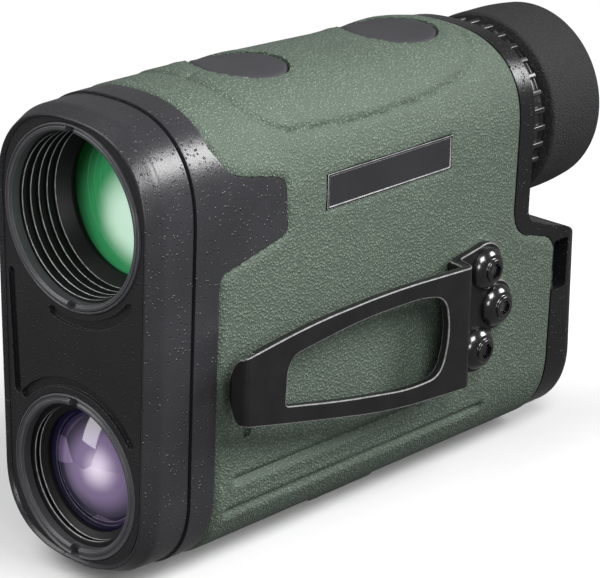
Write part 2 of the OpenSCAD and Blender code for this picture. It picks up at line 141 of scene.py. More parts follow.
def distance_to(a: np.ndarray, b: np.ndarray, line: Outline, closed: bool) -> np.ndarray:
    """Returns how far each point (a, b) is from a line through the given corners.

    Args:
        a: first coordinates of the points.
        b: second coordinates of the points.
        line: corners of the line.
        closed: whether the last corner joins the first.

    Returns:
        The distances, in the points' own shape.
    """
    corners = np.array([corner[:2] for corner in line], float)
    ends = np.roll(corners, -1, axis=0)
    if not closed:
        corners, ends = corners[:-1], ends[:-1]
    nearest = np.full(a.shape, 1e9)
    for start, end in zip(corners, ends):
        run = end - start
        t = ((a - start[0]) * run[0] + (b - start[1]) * run[1]) / max(run @ run, TINY)
        t = np.clip(t, 0.0, 1.0)
        gap = np.hypot(a - start[0] - t * run[0], b - start[1] - t * run[1])
        nearest = np.minimum(nearest, gap)
    return nearest


def inside_of(a: np.ndarray, b: np.ndarray, line: Outline) -> np.ndarray:
    """Returns which points (a, b) lie inside a closed outline.

    Args:
        a: first coordinates of the points.
        b: second coordinates of the points.
        line: corners of the outline.

    Returns:
        True where a point lies inside.
    """
    corners = np.array([corner[:2] for corner in line], float)
    ends = np.roll(corners, -1, axis=0)
    within = np.zeros(a.shape, bool)
    for start, end in zip(corners, ends):
        spans = (start[1] > b) != (end[1] > b)
        run = end[1] - start[1]
        crossing = start[0] + (b - start[1]) * (end[0] - start[0]) / (run if run else TINY)
        within ^= spans & (a < crossing)
    return within


@dataclass(frozen=True)
class Section:
    """The body's cross-section: straight flanks between two slightly square round ends."""

    half_width: float = 18.8
    taper: float = 1.0
    crown: float = 18.2
    keel: float = 16.5
    squareness: float = 2.5

    def half(self, side: float, ends: float, crown: float, steps: int = 160) -> np.ndarray:
        """Returns the clip side's points from the top middle down to the bottom middle.

        Args:
            side: how far the flanks are drawn in.
            ends: how far the top and bottom are drawn in.
            crown: height of the top above the upper lens axis.
            steps: number of points in each end.

        Returns:
            Points across and up.
        """
        wide = self.half_width - side
        low_wide = wide - self.taper
        turn = np.linspace(0.0, math.pi / 2, steps)
        power = 2 / self.squareness
        sine, cosine = np.sin(turn) ** power, np.abs(np.cos(turn)) ** power
        upper = np.stack([wide * sine, PITCH + (crown - ends) * cosine], axis=1)
        lower = np.stack([low_wide * cosine, -(self.keel - ends) * sine], axis=1)
        return np.concatenate([upper, lower])

    def outline(
        self, count: int, side: float = 0.0, ends: float | None = None, crown: float | None = None
    ) -> np.ndarray:
        """Returns evenly spaced points round the whole section, from the top down the clip side.

        Args:
            count: number of points.
            side: how far the flanks are drawn in.
            ends: how far the top and bottom are drawn in; the same as the flanks if not given.
            crown: height of the top above the upper lens axis, if it differs.

        Returns:
            An array of points across and up.
        """
        ends = side if ends is None else ends
        half = self.half(side, ends, self.crown if crown is None else crown)
        loop = np.concatenate([half, half[::-1] * (-1, 1)])
        lengths = np.concatenate([[0.0], np.cumsum(np.hypot(*np.diff(loop, axis=0).T))])
        spots = np.arange(count) / count * lengths[-1]
        return np.stack([np.interp(spots, lengths, loop[:, axis]) for axis in (0, 1)], axis=1)

    def top_at(self, across: np.ndarray, crown: np.ndarray) -> np.ndarray:
        """Returns the height of the rounded top over points across the body."""
        part = np.clip(np.abs(across) / self.half_width, 0, 0.999)
        return PITCH + crown * (1 - part**self.squareness) ** (1 / self.squareness)


BODY = Section()

# ---------------------------------------------------------------- bench work


def clear() -> None:
    """Leaves edit mode and deselects everything."""
    if bpy.context.object and bpy.context.object.mode != "OBJECT":
        bpy.ops.object.mode_set(mode="OBJECT")
    bpy.ops.object.select_all(action="DESELECT")


def pick(obj: bpy.types.Object) -> None:
    """Makes one object the only selected and active one.

    Args:
        obj: the object.
    """
    clear()
    obj.select_set(True)
    bpy.context.view_layer.objects.active = obj


@contextmanager
def editing(obj: bpy.types.Object) -> Iterator[None]:
    """Opens an object in edit mode with all of it selected, and closes it again.

    Args:
        obj: the object.

    Yields:
        Control while edit mode is open.
    """
    pick(obj)
    bpy.ops.object.mode_set(mode="EDIT")
    bpy.ops.mesh.select_all(action="SELECT")
    yield
    bpy.ops.object.mode_set(mode="OBJECT")


def sealed(obj: bpy.types.Object) -> bpy.types.Object:
    """Merges doubled points and turns every face outwards.

    Args:
        obj: the piece.

    Returns:
        The same piece.
    """
    with editing(obj):
        bpy.ops.mesh.remove_doubles(threshold=2e-6)
        bpy.ops.mesh.dissolve_degenerate(threshold=1e-7)
        bpy.ops.mesh.select_all(action="SELECT")
        bpy.ops.mesh.normals_make_consistent(inside=False)
    return obj


def named(name: str) -> bpy.types.Object:
    """Names the object just added and its mesh.

    Args:
        name: the new name.

    Returns:
        The object.
    """
    obj = bpy.context.object
    obj.name = name
    obj.data.name = name
    return obj


def modified(obj: bpy.types.Object, kind: str, **settings: object) -> bpy.types.Object:
    """Adds a modifier with its settings and applies it.

    Args:
        obj: the piece.
        kind: the modifier's type.
        settings: its settings, by name.

    Returns:
        The same piece.
    """
    pick(obj)
    modifier = obj.modifiers.new(kind.title(), kind)
    for key, value in settings.items():
        setattr(modifier, key, value)
    bpy.ops.object.modifier_apply(modifier=modifier.name)
    return obj


def bevelled(
    obj: bpy.types.Object, width: float, segments: int = 2, angle: float = 32.0, full: bool = False
) -> bpy.types.Object:
    """Rounds sharp edges and marks the new faces.

    Args:
        obj: the piece.
        width: width of the rounding, in millimetres.
        segments: number of strips in it.
        angle: edges sharper than this are rounded.
        full: keeps the whole width where edges run close together.

    Returns:
        The piece.
    """
    if full:
        with editing(obj):
            bpy.ops.mesh.remove_doubles(threshold=0.04 * MM)
            bpy.ops.mesh.dissolve_limited(angle_limit=math.radians(0.6))
    for _ in range(2):
        obj.data.materials.append(None)
    modified(
        obj, "BEVEL", width=width * MM, segments=segments, limit_method="ANGLE",
        angle_limit=math.radians(angle), harden_normals=False, material=1, use_clamp_overlap=not full,
    )
    marks = np.zeros(len(obj.data.polygons), dtype=np.int32)
    obj.data.polygons.foreach_get("material_index", marks)
    obj.data.polygons.foreach_set("material_index", np.zeros_like(marks))
    obj.data.materials.clear()
    return marked(obj, marks == 1)


def marked(obj: bpy.types.Object, marks: np.ndarray) -> bpy.types.Object:
    """Marks faces in the attribute `edge`, which the finishes read to paint the edges lighter: partly
    wear, partly a painted highlight.

    Args:
        obj: the piece.
        marks: which faces are marked.

    Returns:
        The same piece.
    """
    edge = obj.data.attributes.get("edge") or obj.data.attributes.new("edge", "FLOAT", "FACE")
    edge.data.foreach_set("value", marks.astype(np.float32))
    return obj


def smoothed(obj: bpy.types.Object, angle: float = SHARP) -> bpy.types.Object:
    """Shades a piece smooth, with creases left sharp.

    Args:
        obj: the piece.
        angle: edges sharper than this, in degrees, stay creases.

    Returns:
        The same piece.
    """
    pick(obj)
    bpy.ops.object.shade_smooth_by_angle(angle=math.radians(angle))
    return modified(obj, "WEIGHTED_NORMAL", mode="FACE_AREA", weight=100, keep_sharp=True)


def joined(first: bpy.types.Object, *others: bpy.types.Object) -> bpy.types.Object:
    """Joins objects into the first one.

    Args:
        first: the object that is kept.
        others: the objects joined into it.

    Returns:
        The first object.
    """
    if others:
        pick(first)
        for other in others:
            other.select_set(True)
        bpy.ops.object.join()
    return first


class Join(Enum):
    """How one solid is worked with another."""

    CUT = "DIFFERENCE"
    KEEP = "INTERSECT"
    FUSE = "UNION"


def worked(
    obj: bpy.types.Object, join: Join, *tools: bpy.types.Object, solver: str = "EXACT"
) -> bpy.types.Object:
    """Cuts, trims or fuses a piece with tool solids, which are used up.

    Args:
        obj: the piece.
        join: what is done with the tools.
        tools: the other solids.
        solver: the solver tried first; another one follows if nothing is left of the piece.

    Returns:
        The piece.
    """
    tool = joined(*tools)
    before = obj.data.copy()
    for choice in (solver, "MANIFOLD", "FLOAT"):
        modified(obj, "BOOLEAN", operation=join.value, object=tool, solver=choice)
        if obj.data.polygons:
            break
        LOG.warning("%s came back empty from %s", obj.name, choice)
        obj.data = before.copy()
    bpy.data.objects.remove(tool)
    return obj


class Along(Enum):
    """The direction a flat outline is drawn out in."""

    ACROSS = "across"
    BACK = "back"
    UP = "up"

    def point(self, a: float, b: float, depth: float) -> Vector:
        """Returns the place of outline point (a, b) at a depth along this direction.

        Args:
            a: the point's first number in the outline.
            b: its second number.
            depth: how far along the direction it is.

        Returns:
            The point, in the frame's metres.
        """
        if self is Along.ACROSS:
            return place(depth, a, b)
        if self is Along.BACK:
            return place(a, depth, b)
        return place(a, b, depth)

    @property
    def axis(self) -> tuple[float, float, float]:
        """The direction as a unit vector."""
        return tuple(float(self is way) for way in (Along.ACROSS, Along.BACK, Along.UP))


def turned(
    name: str, outline: Outline, along: Along, a: float, b: float, steps: int = 96
) -> bpy.types.Object:
    """Spins a closed outline round a line.

    Args:
        name: the piece's name.
        outline: corners as radius and place along the line.
        along: the line's direction.
        a: the line's first place across its direction.
        b: its second place.
        steps: number of stations round.

    Returns:
        The closed piece.
    """
    clear()
    bpy.ops.mesh.primitive_circle_add(vertices=len(outline), radius=MM)
    obj = named(name)
    for vertex, (radius, depth) in zip(obj.data.vertices, outline):
        vertex.co = along.point(a + radius, b, depth)
    with editing(obj):
        bpy.ops.mesh.spin(
            steps=steps, angle=math.tau, center=along.point(a, b, 0), axis=along.axis
        )
    return sealed(obj)


def slab(name: str, outline: Outline, along: Along, low: float, high: float) -> bpy.types.Object:
    """Draws a flat outline out into a solid.

    Args:
        name: the piece's name.
        outline: corners in the plane across the direction.
        along: the direction.
        low: where the solid starts.
        high: where it ends.

    Returns:
        The closed piece.
    """
    clear()
    bpy.ops.mesh.primitive_circle_add(vertices=len(outline), radius=MM, fill_type="NGON")
    obj = named(name)
    for vertex, (a, b) in zip(obj.data.vertices, outline):
        vertex.co = along.point(a, b, low)
    travel = along.point(0, 0, high) - along.point(0, 0, low)
    with editing(obj):
        bpy.ops.mesh.extrude_region_move(TRANSFORM_OT_translate={"value": travel})
    return sealed(obj)


def rod(name: str, radius: float, low: float, high: float, along: Along, a: float, b: float,
        sides: int = 48) -> bpy.types.Object:
    """Returns a round rod centred on (a, b) across its direction."""
    return slab(name, arc((a, b), radius, 0, 360 - 360 / sides, sides - 1), along, low, high)


def woven(name: str, points: np.ndarray, closed_rows: bool) -> bpy.types.Object:
    """Warps a flat grid onto rows of points that each close round on themselves.

    Args:
        name: the piece's name.
        points: body measures, as rows by points round by three.
        closed_rows: whether the last row joins the first one.

    Returns:
        The closed piece.
    """
    rows, count = points.shape[:2]
    spans = rows if closed_rows else rows - 1
    clear()
    bpy.ops.mesh.primitive_grid_add(x_subdivisions=count, y_subdivisions=spans, size=1)
    obj = named(name)
    flat = np.empty(len(obj.data.vertices) * 3)
    obj.data.vertices.foreach_get("co", flat)
    flat = flat.reshape(-1, 3)
    column = np.rint((flat[:, 0] + 0.5) * count).astype(int) % count
    row = np.rint((flat[:, 1] + 0.5) * spans).astype(int) % rows
    obj.data.vertices.foreach_set("co", place_all(points[row, column]).ravel())
    obj.data.update()
    return sealed(obj)


def sleeve(name: str, profile: Outline, count: int = 240) -> bpy.types.Object:
    """Runs a closed profile round the body's section.

    Args:
        name: the piece's name.
        profile: corners as inset from the body's outside and distance back.
        count: number of points round the body.

    Returns:
        The closed ring.
    """
    rows = []
    for inset, back in profile:
        ring = BODY.outline(count, inset, inset)
        rows.append(np.column_stack([ring[:, 0], np.full(count, back), ring[:, 1]]))
    return woven(name, np.array(rows), closed_rows=True)


# ---------------------------------------------------------------- finishes


class Value:
    """One number or colour inside a material; sums on it add Math nodes."""

    def __init__(self, recipe: "Recipe", socket: bpy.types.NodeSocket) -> None:
        """Wraps a node's output socket."""
        self.recipe = recipe
        self.socket = socket

    def _math(self, operation: str, first: object, second: object) -> "Value":
        """Adds one Math node."""
        return self.recipe.node("ShaderNodeMath", {"operation": operation}, {0: first, 1: second})

    def __add__(self, other: object) -> "Value":
        """Sum."""
        return self._math("ADD", self, other)

    def __radd__(self, other: object) -> "Value":
        """Sum, reflected."""
        return self._math("ADD", other, self)

    def __sub__(self, other: object) -> "Value":
        """Difference."""
        return self._math("SUBTRACT", self, other)

    def __rsub__(self, other: object) -> "Value":
        """Difference, reflected."""
        return self._math("SUBTRACT", other, self)

    def __mul__(self, other: object) -> "Value":
        """Product."""
        return self._math("MULTIPLY", self, other)

    def __rmul__(self, other: object) -> "Value":
        """Product, reflected."""
        return self._math("MULTIPLY", other, self)

    def ramp(self, low: float, high: float) -> "Value":
        """Returns 0 below `low`, 1 above `high` and a smooth step between.

        Args:
            low: where the step starts.
            high: where it ends.

        Returns:
            The stepped value.
        """
        return self.recipe.node(
            "ShaderNodeMapRange", {"interpolation_type": "SMOOTHSTEP"},
            {"Value": self, "From Min": low, "From Max": high},
        )


class Recipe:
    """Builds the nodes of one material."""

    def __init__(self, name: str) -> None:
        """Starts an empty material with a Principled shader.

        Args:
            name: the material's name.
        """
        self.material = bpy.data.materials.new(name)
        self.material.use_nodes = True
        self.tree = self.material.node_tree
        self.tree.nodes.clear()
        self.output = self.tree.nodes.new("ShaderNodeOutputMaterial")
        self.shader = self.tree.nodes.new("ShaderNodeBsdfPrincipled")
        self.tree.links.new(self.shader.outputs[0], self.output.inputs["Surface"])
        self.spot = self.node("ShaderNodeTexCoord", output="Object")

    def feed(self, socket: bpy.types.NodeSocket, value: object) -> None:
        """Links a value to a socket, or sets the socket to a number or colour.

        Args:
            socket: the socket.
            value: a linked value, a number or a colour.
        """
        if isinstance(value, Value):
            self.tree.links.new(value.socket, socket)
        elif isinstance(value, tuple) and len(value) == 3 and socket.type == "RGBA":
            socket.default_value = (*value, 1.0)
        else:
            socket.default_value = value

    def node(
        self, kind: str, settings: dict[str, object] | None = None,
        inputs: dict[object, object] | None = None, output: object = 0,
    ) -> Value:
        """Adds a node.

        Args:
            kind: the node's type.
            settings: its own settings; `stops` gives a ramp's places and colours.
            inputs: values or links of its sockets, by name or number.
            output: which output to return.

        Returns:
            The chosen output.
        """
        made = self.tree.nodes.new(kind)
        for key, value in (settings or {}).items():
            if key == "stops":
                made.color_ramp.interpolation = "EASE"
                elements = made.color_ramp.elements
                while len(elements) < len(value):
                    elements.new(0.5)
                for element, (at, colour) in zip(elements, value):
                    element.position = at
                    element.color = (*colour, 1.0)
            else:
                setattr(made, key, value)
        for key, value in (inputs or {}).items():
            self.feed(made.inputs[key], value)
        return Value(self, made.outputs[output])

    def noise(self, size: float, detail: float = 3.0, rough: float = 0.55) -> Value:
        """Returns a noise whose blotches are about `size` millimetres across.

        Args:
            size: size of the blotches.
            detail: number of finer layers.
            rough: weight of the finer layers.

        Returns:
            The noise, from 0 to 1.
        """
        return self.node(
            "ShaderNodeTexNoise", None,
            {"Vector": self.spot, "Scale": 1 / (size * MM), "Detail": detail, "Roughness": rough},
        )

    def cells(self, size: float) -> Value:
        """Returns the distance from the nearest of points about `size` millimetres apart.

        Args:
            size: mean distance between the points.

        Returns:
            The distance, from 0.
        """
        return self.node(
            "ShaderNodeTexVoronoi", None, {"Vector": self.spot, "Scale": 1 / (size * MM)}
        )

    def blend(self, share: object, first: object, second: object) -> Value:
        """Mixes two colours.

        Args:
            share: how much of the second colour shows.
            first: a colour or a linked value.
            second: a colour or a linked value.

        Returns:
            The mixed colour.
        """
        return self.node(
            "ShaderNodeMix", {"data_type": "RGBA"}, {0: share, 6: first, 7: second}, output=2
        )

    def bump(self, height: Value, depth: float, strength: float = 1.0) -> Value:
        """Turns a height into a normal; `depth` is in millimetres.

        Args:
            height: the height, from 0 to 1.
            depth: how deep a full step is.
            strength: share of the effect.

        Returns:
            The normal.
        """
        return self.node(
            "ShaderNodeBump", None,
            {"Strength": strength, "Distance": depth * MM, "Height": height}, output="Normal",
        )

    def edge_wear_and_highlight_mask(self) -> Value:
        """Returns a mask of the marked edges, broken up by noise, where wear and a painted highlight are
        laid.
        """
        edge = self.node("ShaderNodeAttribute", {"attribute_name": "edge"}, output="Fac")
        return edge * (0.6 + self.noise(1.5, 4.0, 0.7).ramp(0.38, 0.62) * 0.4)

    def done(self, **sockets: object) -> bpy.types.Material:
        """Sets the shader's sockets, named with underscores, and returns the material.

        Args:
            sockets: the sockets' values.

        Returns:
            The finished material.
        """
        for key, value in sockets.items():
            self.feed(self.shader.inputs[key.replace("_", " ")], value)
        return self.material


@dataclass(frozen=True)
class Finish:
    """A surface finish; `name` is also the name of its material."""

    name: str
    colour: Colour

    def make(self) -> bpy.types.Material:
        """Builds the material."""
        raise NotImplementedError


@dataclass(frozen=True)
class SandyRubber(Finish):
    """Moulded rubber with a sandy grain and pale flecks, the grain's hollows painted darker as painted
    shade.
    """

    pale: Colour = (0.23, 0.285, 0.225)
    grain: float = 0.4

    def make(self) -> bpy.types.Material:
        """Builds the material.

        Returns:
            The finished material.
        """
        r = Recipe(self.name)
        sand = r.noise(self.grain, 3.0, 0.6)
        beads = 1 - r.cells(self.grain * 1.2).ramp(0.08, 0.6)
        patches = r.noise(9.0, 2.0)
        grains = sand * 0.6 + beads * 0.4
        dark = tuple(0.48 * c for c in self.colour)
        base = r.blend(patches.ramp(0.3, 0.7) * 0.18, self.colour, dark)
        # Colour follows the grain's height: darker in its hollows, painted shade, and paler on its tops.
        base = r.blend((1 - grains.ramp(0.28, 0.54)) * 0.7, base, dark)
        colour = r.blend(grains.ramp(0.5, 0.76) * 0.62, base, self.pale)
        rough = 0.62 - grains.ramp(0.45, 0.75) * 0.16 + patches * 0.06
        height = sand * 0.8 + beads * 0.5 + r.noise(1.6, 2.0) * 0.4
        return r.done(
            Base_Color=colour, Roughness=rough, Normal=r.bump(height, 0.3, 1.0),
            Specular_IOR_Level=0.5,
        )


@dataclass(frozen=True)
class GrainedPlastic(Finish):
    """Moulded black plastic: fine grain, scattered pits painted dark as painted shade, beads, and marked
    edges painted lighter as wear and painted highlight.
    """

    rough: float = 0.42
    grain: float = 0.3
    pits: float = 1.0
    relief: float = 0.085
    wear_and_highlight: float = 0.4
    edge_wear_and_highlight_colour: Colour = (0.16, 0.16, 0.165)

    def make(self) -> bpy.types.Material:
        """Builds the material.

        Returns:
            The finished material.
        """
        r = Recipe(self.name)
        fine = r.noise(self.grain, 3.0, 0.6)
        spread = r.noise(2.6, 2.0)
        pit = (1 - r.cells(0.95).ramp(0.1, 0.21)) * spread.ramp(0.44, 0.54) * self.pits
        bead = (1 - r.cells(0.8).ramp(0.12, 0.3)) * (1 - spread.ramp(0.42, 0.54)) * self.pits
        cloud = r.noise(14.0, 2.0)
        lighter = tuple(min(1.0, 1.9 * c + 0.004) for c in self.colour)
        base = r.blend(cloud.ramp(0.3, 0.7) * 0.25 + fine.ramp(0.5, 0.75) * 0.3, self.colour, lighter)
        # Pits are painted near black: painted shade in the pits.
        base = r.blend(pit * 0.5, base, (0.004, 0.004, 0.004))
        # Marked edges are painted lighter: partly wear, partly a painted highlight.
        if self.wear_and_highlight:
            base = r.blend(r.edge_wear_and_highlight_mask() * self.wear_and_highlight, base, self.edge_wear_and_highlight_colour)
        rough = self.rough + fine * 0.1 + cloud * 0.06
        height = fine * 0.3 - pit * 1.5 + bead * 1.5
        return r.done(
            Base_Color=base, Roughness=rough, Normal=r.bump(height, self.relief, 0.9),
            Specular_IOR_Level=0.5,
        )


@dataclass(frozen=True)
class DarkMetal(Finish):
    """Anodised or coated metal with brushed unevenness and marked edges painted bright, partly wear and
    partly a painted highlight.
    """

    rough: float = 0.35
    metallic: float = 0.6
    coat: float = 0.0
    wear_and_highlight: float = 0.5
    relief: float = 0.012
    wear_and_highlight_colour: Colour = (0.45, 0.45, 0.46)

    def make(self) -> bpy.types.Material:
        """Builds the material.

        Returns:
            The finished material.
        """
        r = Recipe(self.name)
        fine = r.noise(0.22, 4.0, 0.65)
        smear = r.noise(5.0, 3.0)
        lighter = tuple(min(1.0, 1.5 * c + 0.004) for c in self.colour)
        base = r.blend(smear.ramp(0.35, 0.7) * 0.4, self.colour, lighter)
        # Marked edges are painted lighter: partly wear, partly a painted highlight.
        if self.wear_and_highlight:
            base = r.blend(r.edge_wear_and_highlight_mask() * self.wear_and_highlight, base, self.wear_and_highlight_colour)
        rough = self.rough + fine * 0.1 + smear * 0.08
        return r.done(
            Base_Color=base, Roughness=rough, Metallic=self.metallic,
            Normal=r.bump(fine * 0.6 + smear * 0.4, self.relief, 0.8),
            Coat_Weight=self.coat, Coat_Roughness=0.16,
        )


@dataclass(frozen=True)
class SmoothPlastic(Finish):
    """Smooth moulded or varnished plastic with faint flow marks."""

    rough: float = 0.3
    relief: float = 0.02

    def make(self) -> bpy.types.Material:
        """Builds the material.

        Returns:
            The finished material.
        """
        r = Recipe(self.name)
        flow = r.noise(3.0, 4.0, 0.6)
        fine = r.noise(0.25, 3.0)
        lighter = tuple(min(1.0, 1.35 * c + 0.003) for c in self.colour)
        base = r.blend(flow.ramp(0.35, 0.7) * 0.6, self.colour, lighter)
        return r.done(
            Base_Color=base, Roughness=self.rough + fine * 0.12 + flow * 0.08,
            Normal=r.bump(fine * 0.5 + flow * 0.5, self.relief, 0.7),
        )


@dataclass(frozen=True)
class CoatedGlass(Finish):
    """A lens with a tinted coating, painted dark at the rim and pale round an offset centre as a painted
    reflection, and made to glow by emission as a painted glow.
    """

    rim: Colour = (0.0, 0.0, 0.0)
    pale: Colour = (1.0, 1.0, 1.0)
    radius: float = 12.5
    centre: Colour = (0.0, 0.0, 0.0)
    painted_glow: float = 0.65
    painted_reflection_facets: float = 0.0

    def make(self) -> bpy.types.Material:
        """Builds the material.

        Returns:
            The finished material.
        """
        r = Recipe(self.name)
        # The ramp runs from a pale patch round an offset centre out to a dark rim: a painted reflection
        # of a wide light.
        reach = r.node(
            "ShaderNodeVectorMath", {"operation": "DISTANCE"},
            {0: r.spot, 1: Vector(self.centre)}, output="Value",
        )
        out = reach * (1 / (self.radius * MM))
        film = r.noise(6.0, 1.0) * 0.06
        # Voronoi cells add painted reflection facets, shards of a painted window reflection.
        if self.painted_reflection_facets:
            reflection_shard = r.node(
                "ShaderNodeTexVoronoi", None, {"Vector": r.spot, "Scale": 1 / (7.5 * MM)}, output="Color"
            )
            film = film + r.node("ShaderNodeSeparateColor", None, {0: reflection_shard}) * self.painted_reflection_facets
        stops = [(0.0, self.pale), (0.22, self.pale), (0.52, self.colour), (0.8, self.rim)]
        tint = r.node("ShaderNodeValToRGB", {"stops": stops}, {"Fac": (out + film) * 0.8})
        haze = r.noise(0.8, 2.0)
        # Emission makes the lens glow in its own painted colours: a painted glow, though the lens is no
        # lamp.
        return r.done(
            Base_Color=tint, Roughness=0.05 + haze * 0.03, Normal=r.bump(haze, 0.002, 0.3),
            Coat_Weight=1.0, Coat_Roughness=0.03, Specular_IOR_Level=0.7,
            Emission_Color=tint, Emission_Strength=self.painted_glow,
        )


@dataclass(frozen=True)
class ClearGlass(Finish):
    """Polished clear glass with a faint coating."""

    def make(self) -> bpy.types.Material:
        """Builds the material.

        Returns:
            The finished material.
        """
        r = Recipe(self.name)
        haze = r.noise(1.5, 2.0)
        tint = r.blend(haze, self.colour, tuple(0.93 * c for c in self.colour))
        return r.done(
            Base_Color=tint, Roughness=0.02 + haze * 0.03, Normal=r.bump(haze, 0.002, 0.2),
            Transmission_Weight=0.95, IOR=1.5,
        )


FINISHES: tuple[Finish, ...] = (
    SandyRubber("armour_rubber", (0.108, 0.147, 0.111)),
    GrainedPlastic("bezel_plastic", (0.024, 0.024, 0.027), rough=0.2),
    GrainedPlastic("face_plastic", (0.01, 0.01, 0.0115), rough=0.34, wear_and_highlight=0.8,
                   edge_wear_and_highlight_colour=(0.34, 0.34, 0.35)),
    GrainedPlastic("housing_plastic", (0.006, 0.006, 0.0066), rough=0.2),
    GrainedPlastic("badge_plastic", (0.016, 0.016, 0.018), rough=0.36, pits=0.0, relief=0.02, wear_and_highlight=1.0,
                   edge_wear_and_highlight_colour=(0.45, 0.45, 0.45)),
    # Near-white edge colour: a painted highlight on the marked ridge crests and edges, with some wear.
    DarkMetal("barrel_black", (0.002, 0.002, 0.0022), rough=0.45, metallic=0.0, wear_and_highlight=0.9,
              wear_and_highlight_colour=(0.8, 0.8, 0.82)),
    DarkMetal("ring_black", (0.06, 0.06, 0.066), rough=0.3, metallic=0.0, wear_and_highlight=0.9),
    # Both lens finishes paint a reflection: pale round an offset centre, dark at the rim, glowing by
    # emission.
    CoatedGlass(
        "objective_glass", (0.03, 0.26, 0.09), rim=(0.0005, 0.02, 0.003), pale=(0.6, 0.84, 0.67),
        radius=15.4, centre=tuple(middle("objective_lens") + Vector((0.0028, -0.002, -0.0022))),
    ),
    CoatedGlass(
        "receiver_glass", (0.14, 0.1, 0.19), rim=(0.006, 0.004, 0.018), pale=(0.66, 0.58, 0.7),
        radius=12.5, centre=tuple(middle("receiver_lens") + Vector((0.003, -0.002, 0.002))),
        painted_reflection_facets=0.35, painted_glow=0.75,
    ),
    ClearGlass("clear_glass", (0.93, 0.97, 0.98)),
    SmoothPlastic("board_green", (0.02, 0.13, 0.055), rough=0.28),
    SmoothPlastic("inner_plastic", (0.07, 0.07, 0.078), rough=0.45),
    SmoothPlastic("display_cell", (0.05, 0.08, 0.12), rough=0.15),
    DarkMetal("laser_brass", (0.55, 0.4, 0.16), metallic=1.0, rough=0.28, wear_and_highlight=0.0),
    DarkMetal("insert_brass", (0.6, 0.45, 0.18), metallic=1.0, rough=0.3, wear_and_highlight=0.0),
    DarkMetal("contact_steel", (0.62, 0.62, 0.6), metallic=1.0, rough=0.28, wear_and_highlight=0.0),
    GrainedPlastic("button_rubber", (0.03, 0.03, 0.034), rough=0.5, pits=0.15, relief=0.04),
    DarkMetal("tube_black", (0.01, 0.01, 0.011), rough=0.32, metallic=0.0),
    GrainedPlastic("dioptre_plastic", (0.009, 0.009, 0.01), rough=0.2, pits=0.0, relief=0.02, wear_and_highlight=0.15),
    SandyRubber("eyecup_rubber", (0.011, 0.011, 0.0122), pale=(0.05, 0.05, 0.053), grain=0.28),
    # The edge colour paints a bright line along the clip's marked edges: a painted highlight, with some
    # wear.
    DarkMetal("clip_steel", (0.006, 0.006, 0.0064), rough=0.26, metallic=0.0, wear_and_highlight=0.8,
              wear_and_highlight_colour=(0.3, 0.3, 0.3)),
    DarkMetal("screw_black", (0.004, 0.004, 0.0045), rough=0.1, metallic=0.0, coat=1.0, wear_and_highlight=0.5),
    DarkMetal("screw_steel", (0.6, 0.6, 0.6), metallic=1.0, rough=0.3, wear_and_highlight=0.0),
    SmoothPlastic("battery_jacket", (0.22, 0.23, 0.25), rough=0.3),
    GrainedPlastic("cap_plastic", (0.009, 0.009, 0.01), rough=0.35, pits=0.5),
    SmoothPlastic("seal_rubber", (0.012, 0.012, 0.012), rough=0.5),
)


class Studio:
    """The finishes, kept by name, and the calls that hand each piece to the frame."""

    def __init__(self) -> None:
        """Builds every finish once."""
        self.materials = {finish.name: finish.make() for finish in FINISHES}
        self.slots = {
            part["node"]: part["material_slot"] for part in frame["record"]["subparts"]
        }
        self.bodies = {
            node: body for body, nodes in frame["record"]["behaviour"]["bodies"].items()
            for node in nodes
        }
        self.replaced: set[str] = set()

    def dress(self, obj: bpy.types.Object, finish: str) -> None:
        """Gives a piece one finish all over."""
        obj.data.materials.clear()
        obj.data.materials.append(self.materials[finish])

    def stands_for(self, obj: bpy.types.Object, node: str, crease: float = SHARP) -> None:
        """Finishes a piece, lets it ride where a CAD node does and shows it in the node's place.

        Args:
            obj: the piece.
            node: the CAD node it stands for.
            crease: edges sharper than this, in degrees, stay creases.
        """
        smoothed(obj, crease)
        self.dress(obj, self.slots[node])
        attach(obj, self.bodies[node])
        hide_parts(node)
        self.replaced.add(node)
        LOG.info("%s stands for %s: %d faces", obj.name, node, len(obj.data.polygons))

    def joins(self, obj: bpy.types.Object, node: str, crease: float = SHARP) -> None:
        """Adds a piece beside one that already stands for a node.

        Args:
            obj: the piece.
            node: the CAD node whose finish and body it takes.
            crease: edges sharper than this, in degrees, stay creases.
        """
        smoothed(obj, crease)
        self.dress(obj, self.slots[node])
        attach(obj, self.bodies[node])
        LOG.info("%s goes with %s: %d faces", obj.name, node, len(obj.data.polygons))

    def dress_the_rest(self) -> None:
        """Gives every CAD node that still shows its finish."""
        for node, obj in frame["nodes"].items():
            if node not in self.replaced:
                self.dress(obj, self.slots[node])
                LOG.info("%s keeps its own shape", node)


# ---------------------------------------------------------------- the body


def button_outline(grow: float, tip: float = 12.5, radius: float = 7.7) -> list[tuple[float, float]]:
    """Returns a button's outline: round towards the clip side, drawn out to a tip at the far side.

    Args:
        grow: how far the outline is pushed out.
        tip: distance of the tip from the centre.
        radius: radius of the round side.

    Returns:
        Points of the outline, round the centre.
    """
    flank = [
        (-(tip + grow) * t, (radius + grow) * (1 - t**1.7)) for t in np.linspace(0.06, 1.0, 18)
    ]
    back = [(across, -along) for across, along in reversed(flank[:-1])]
    return arc((0, 0), radius + grow, -90, 90, 28) + flank + back


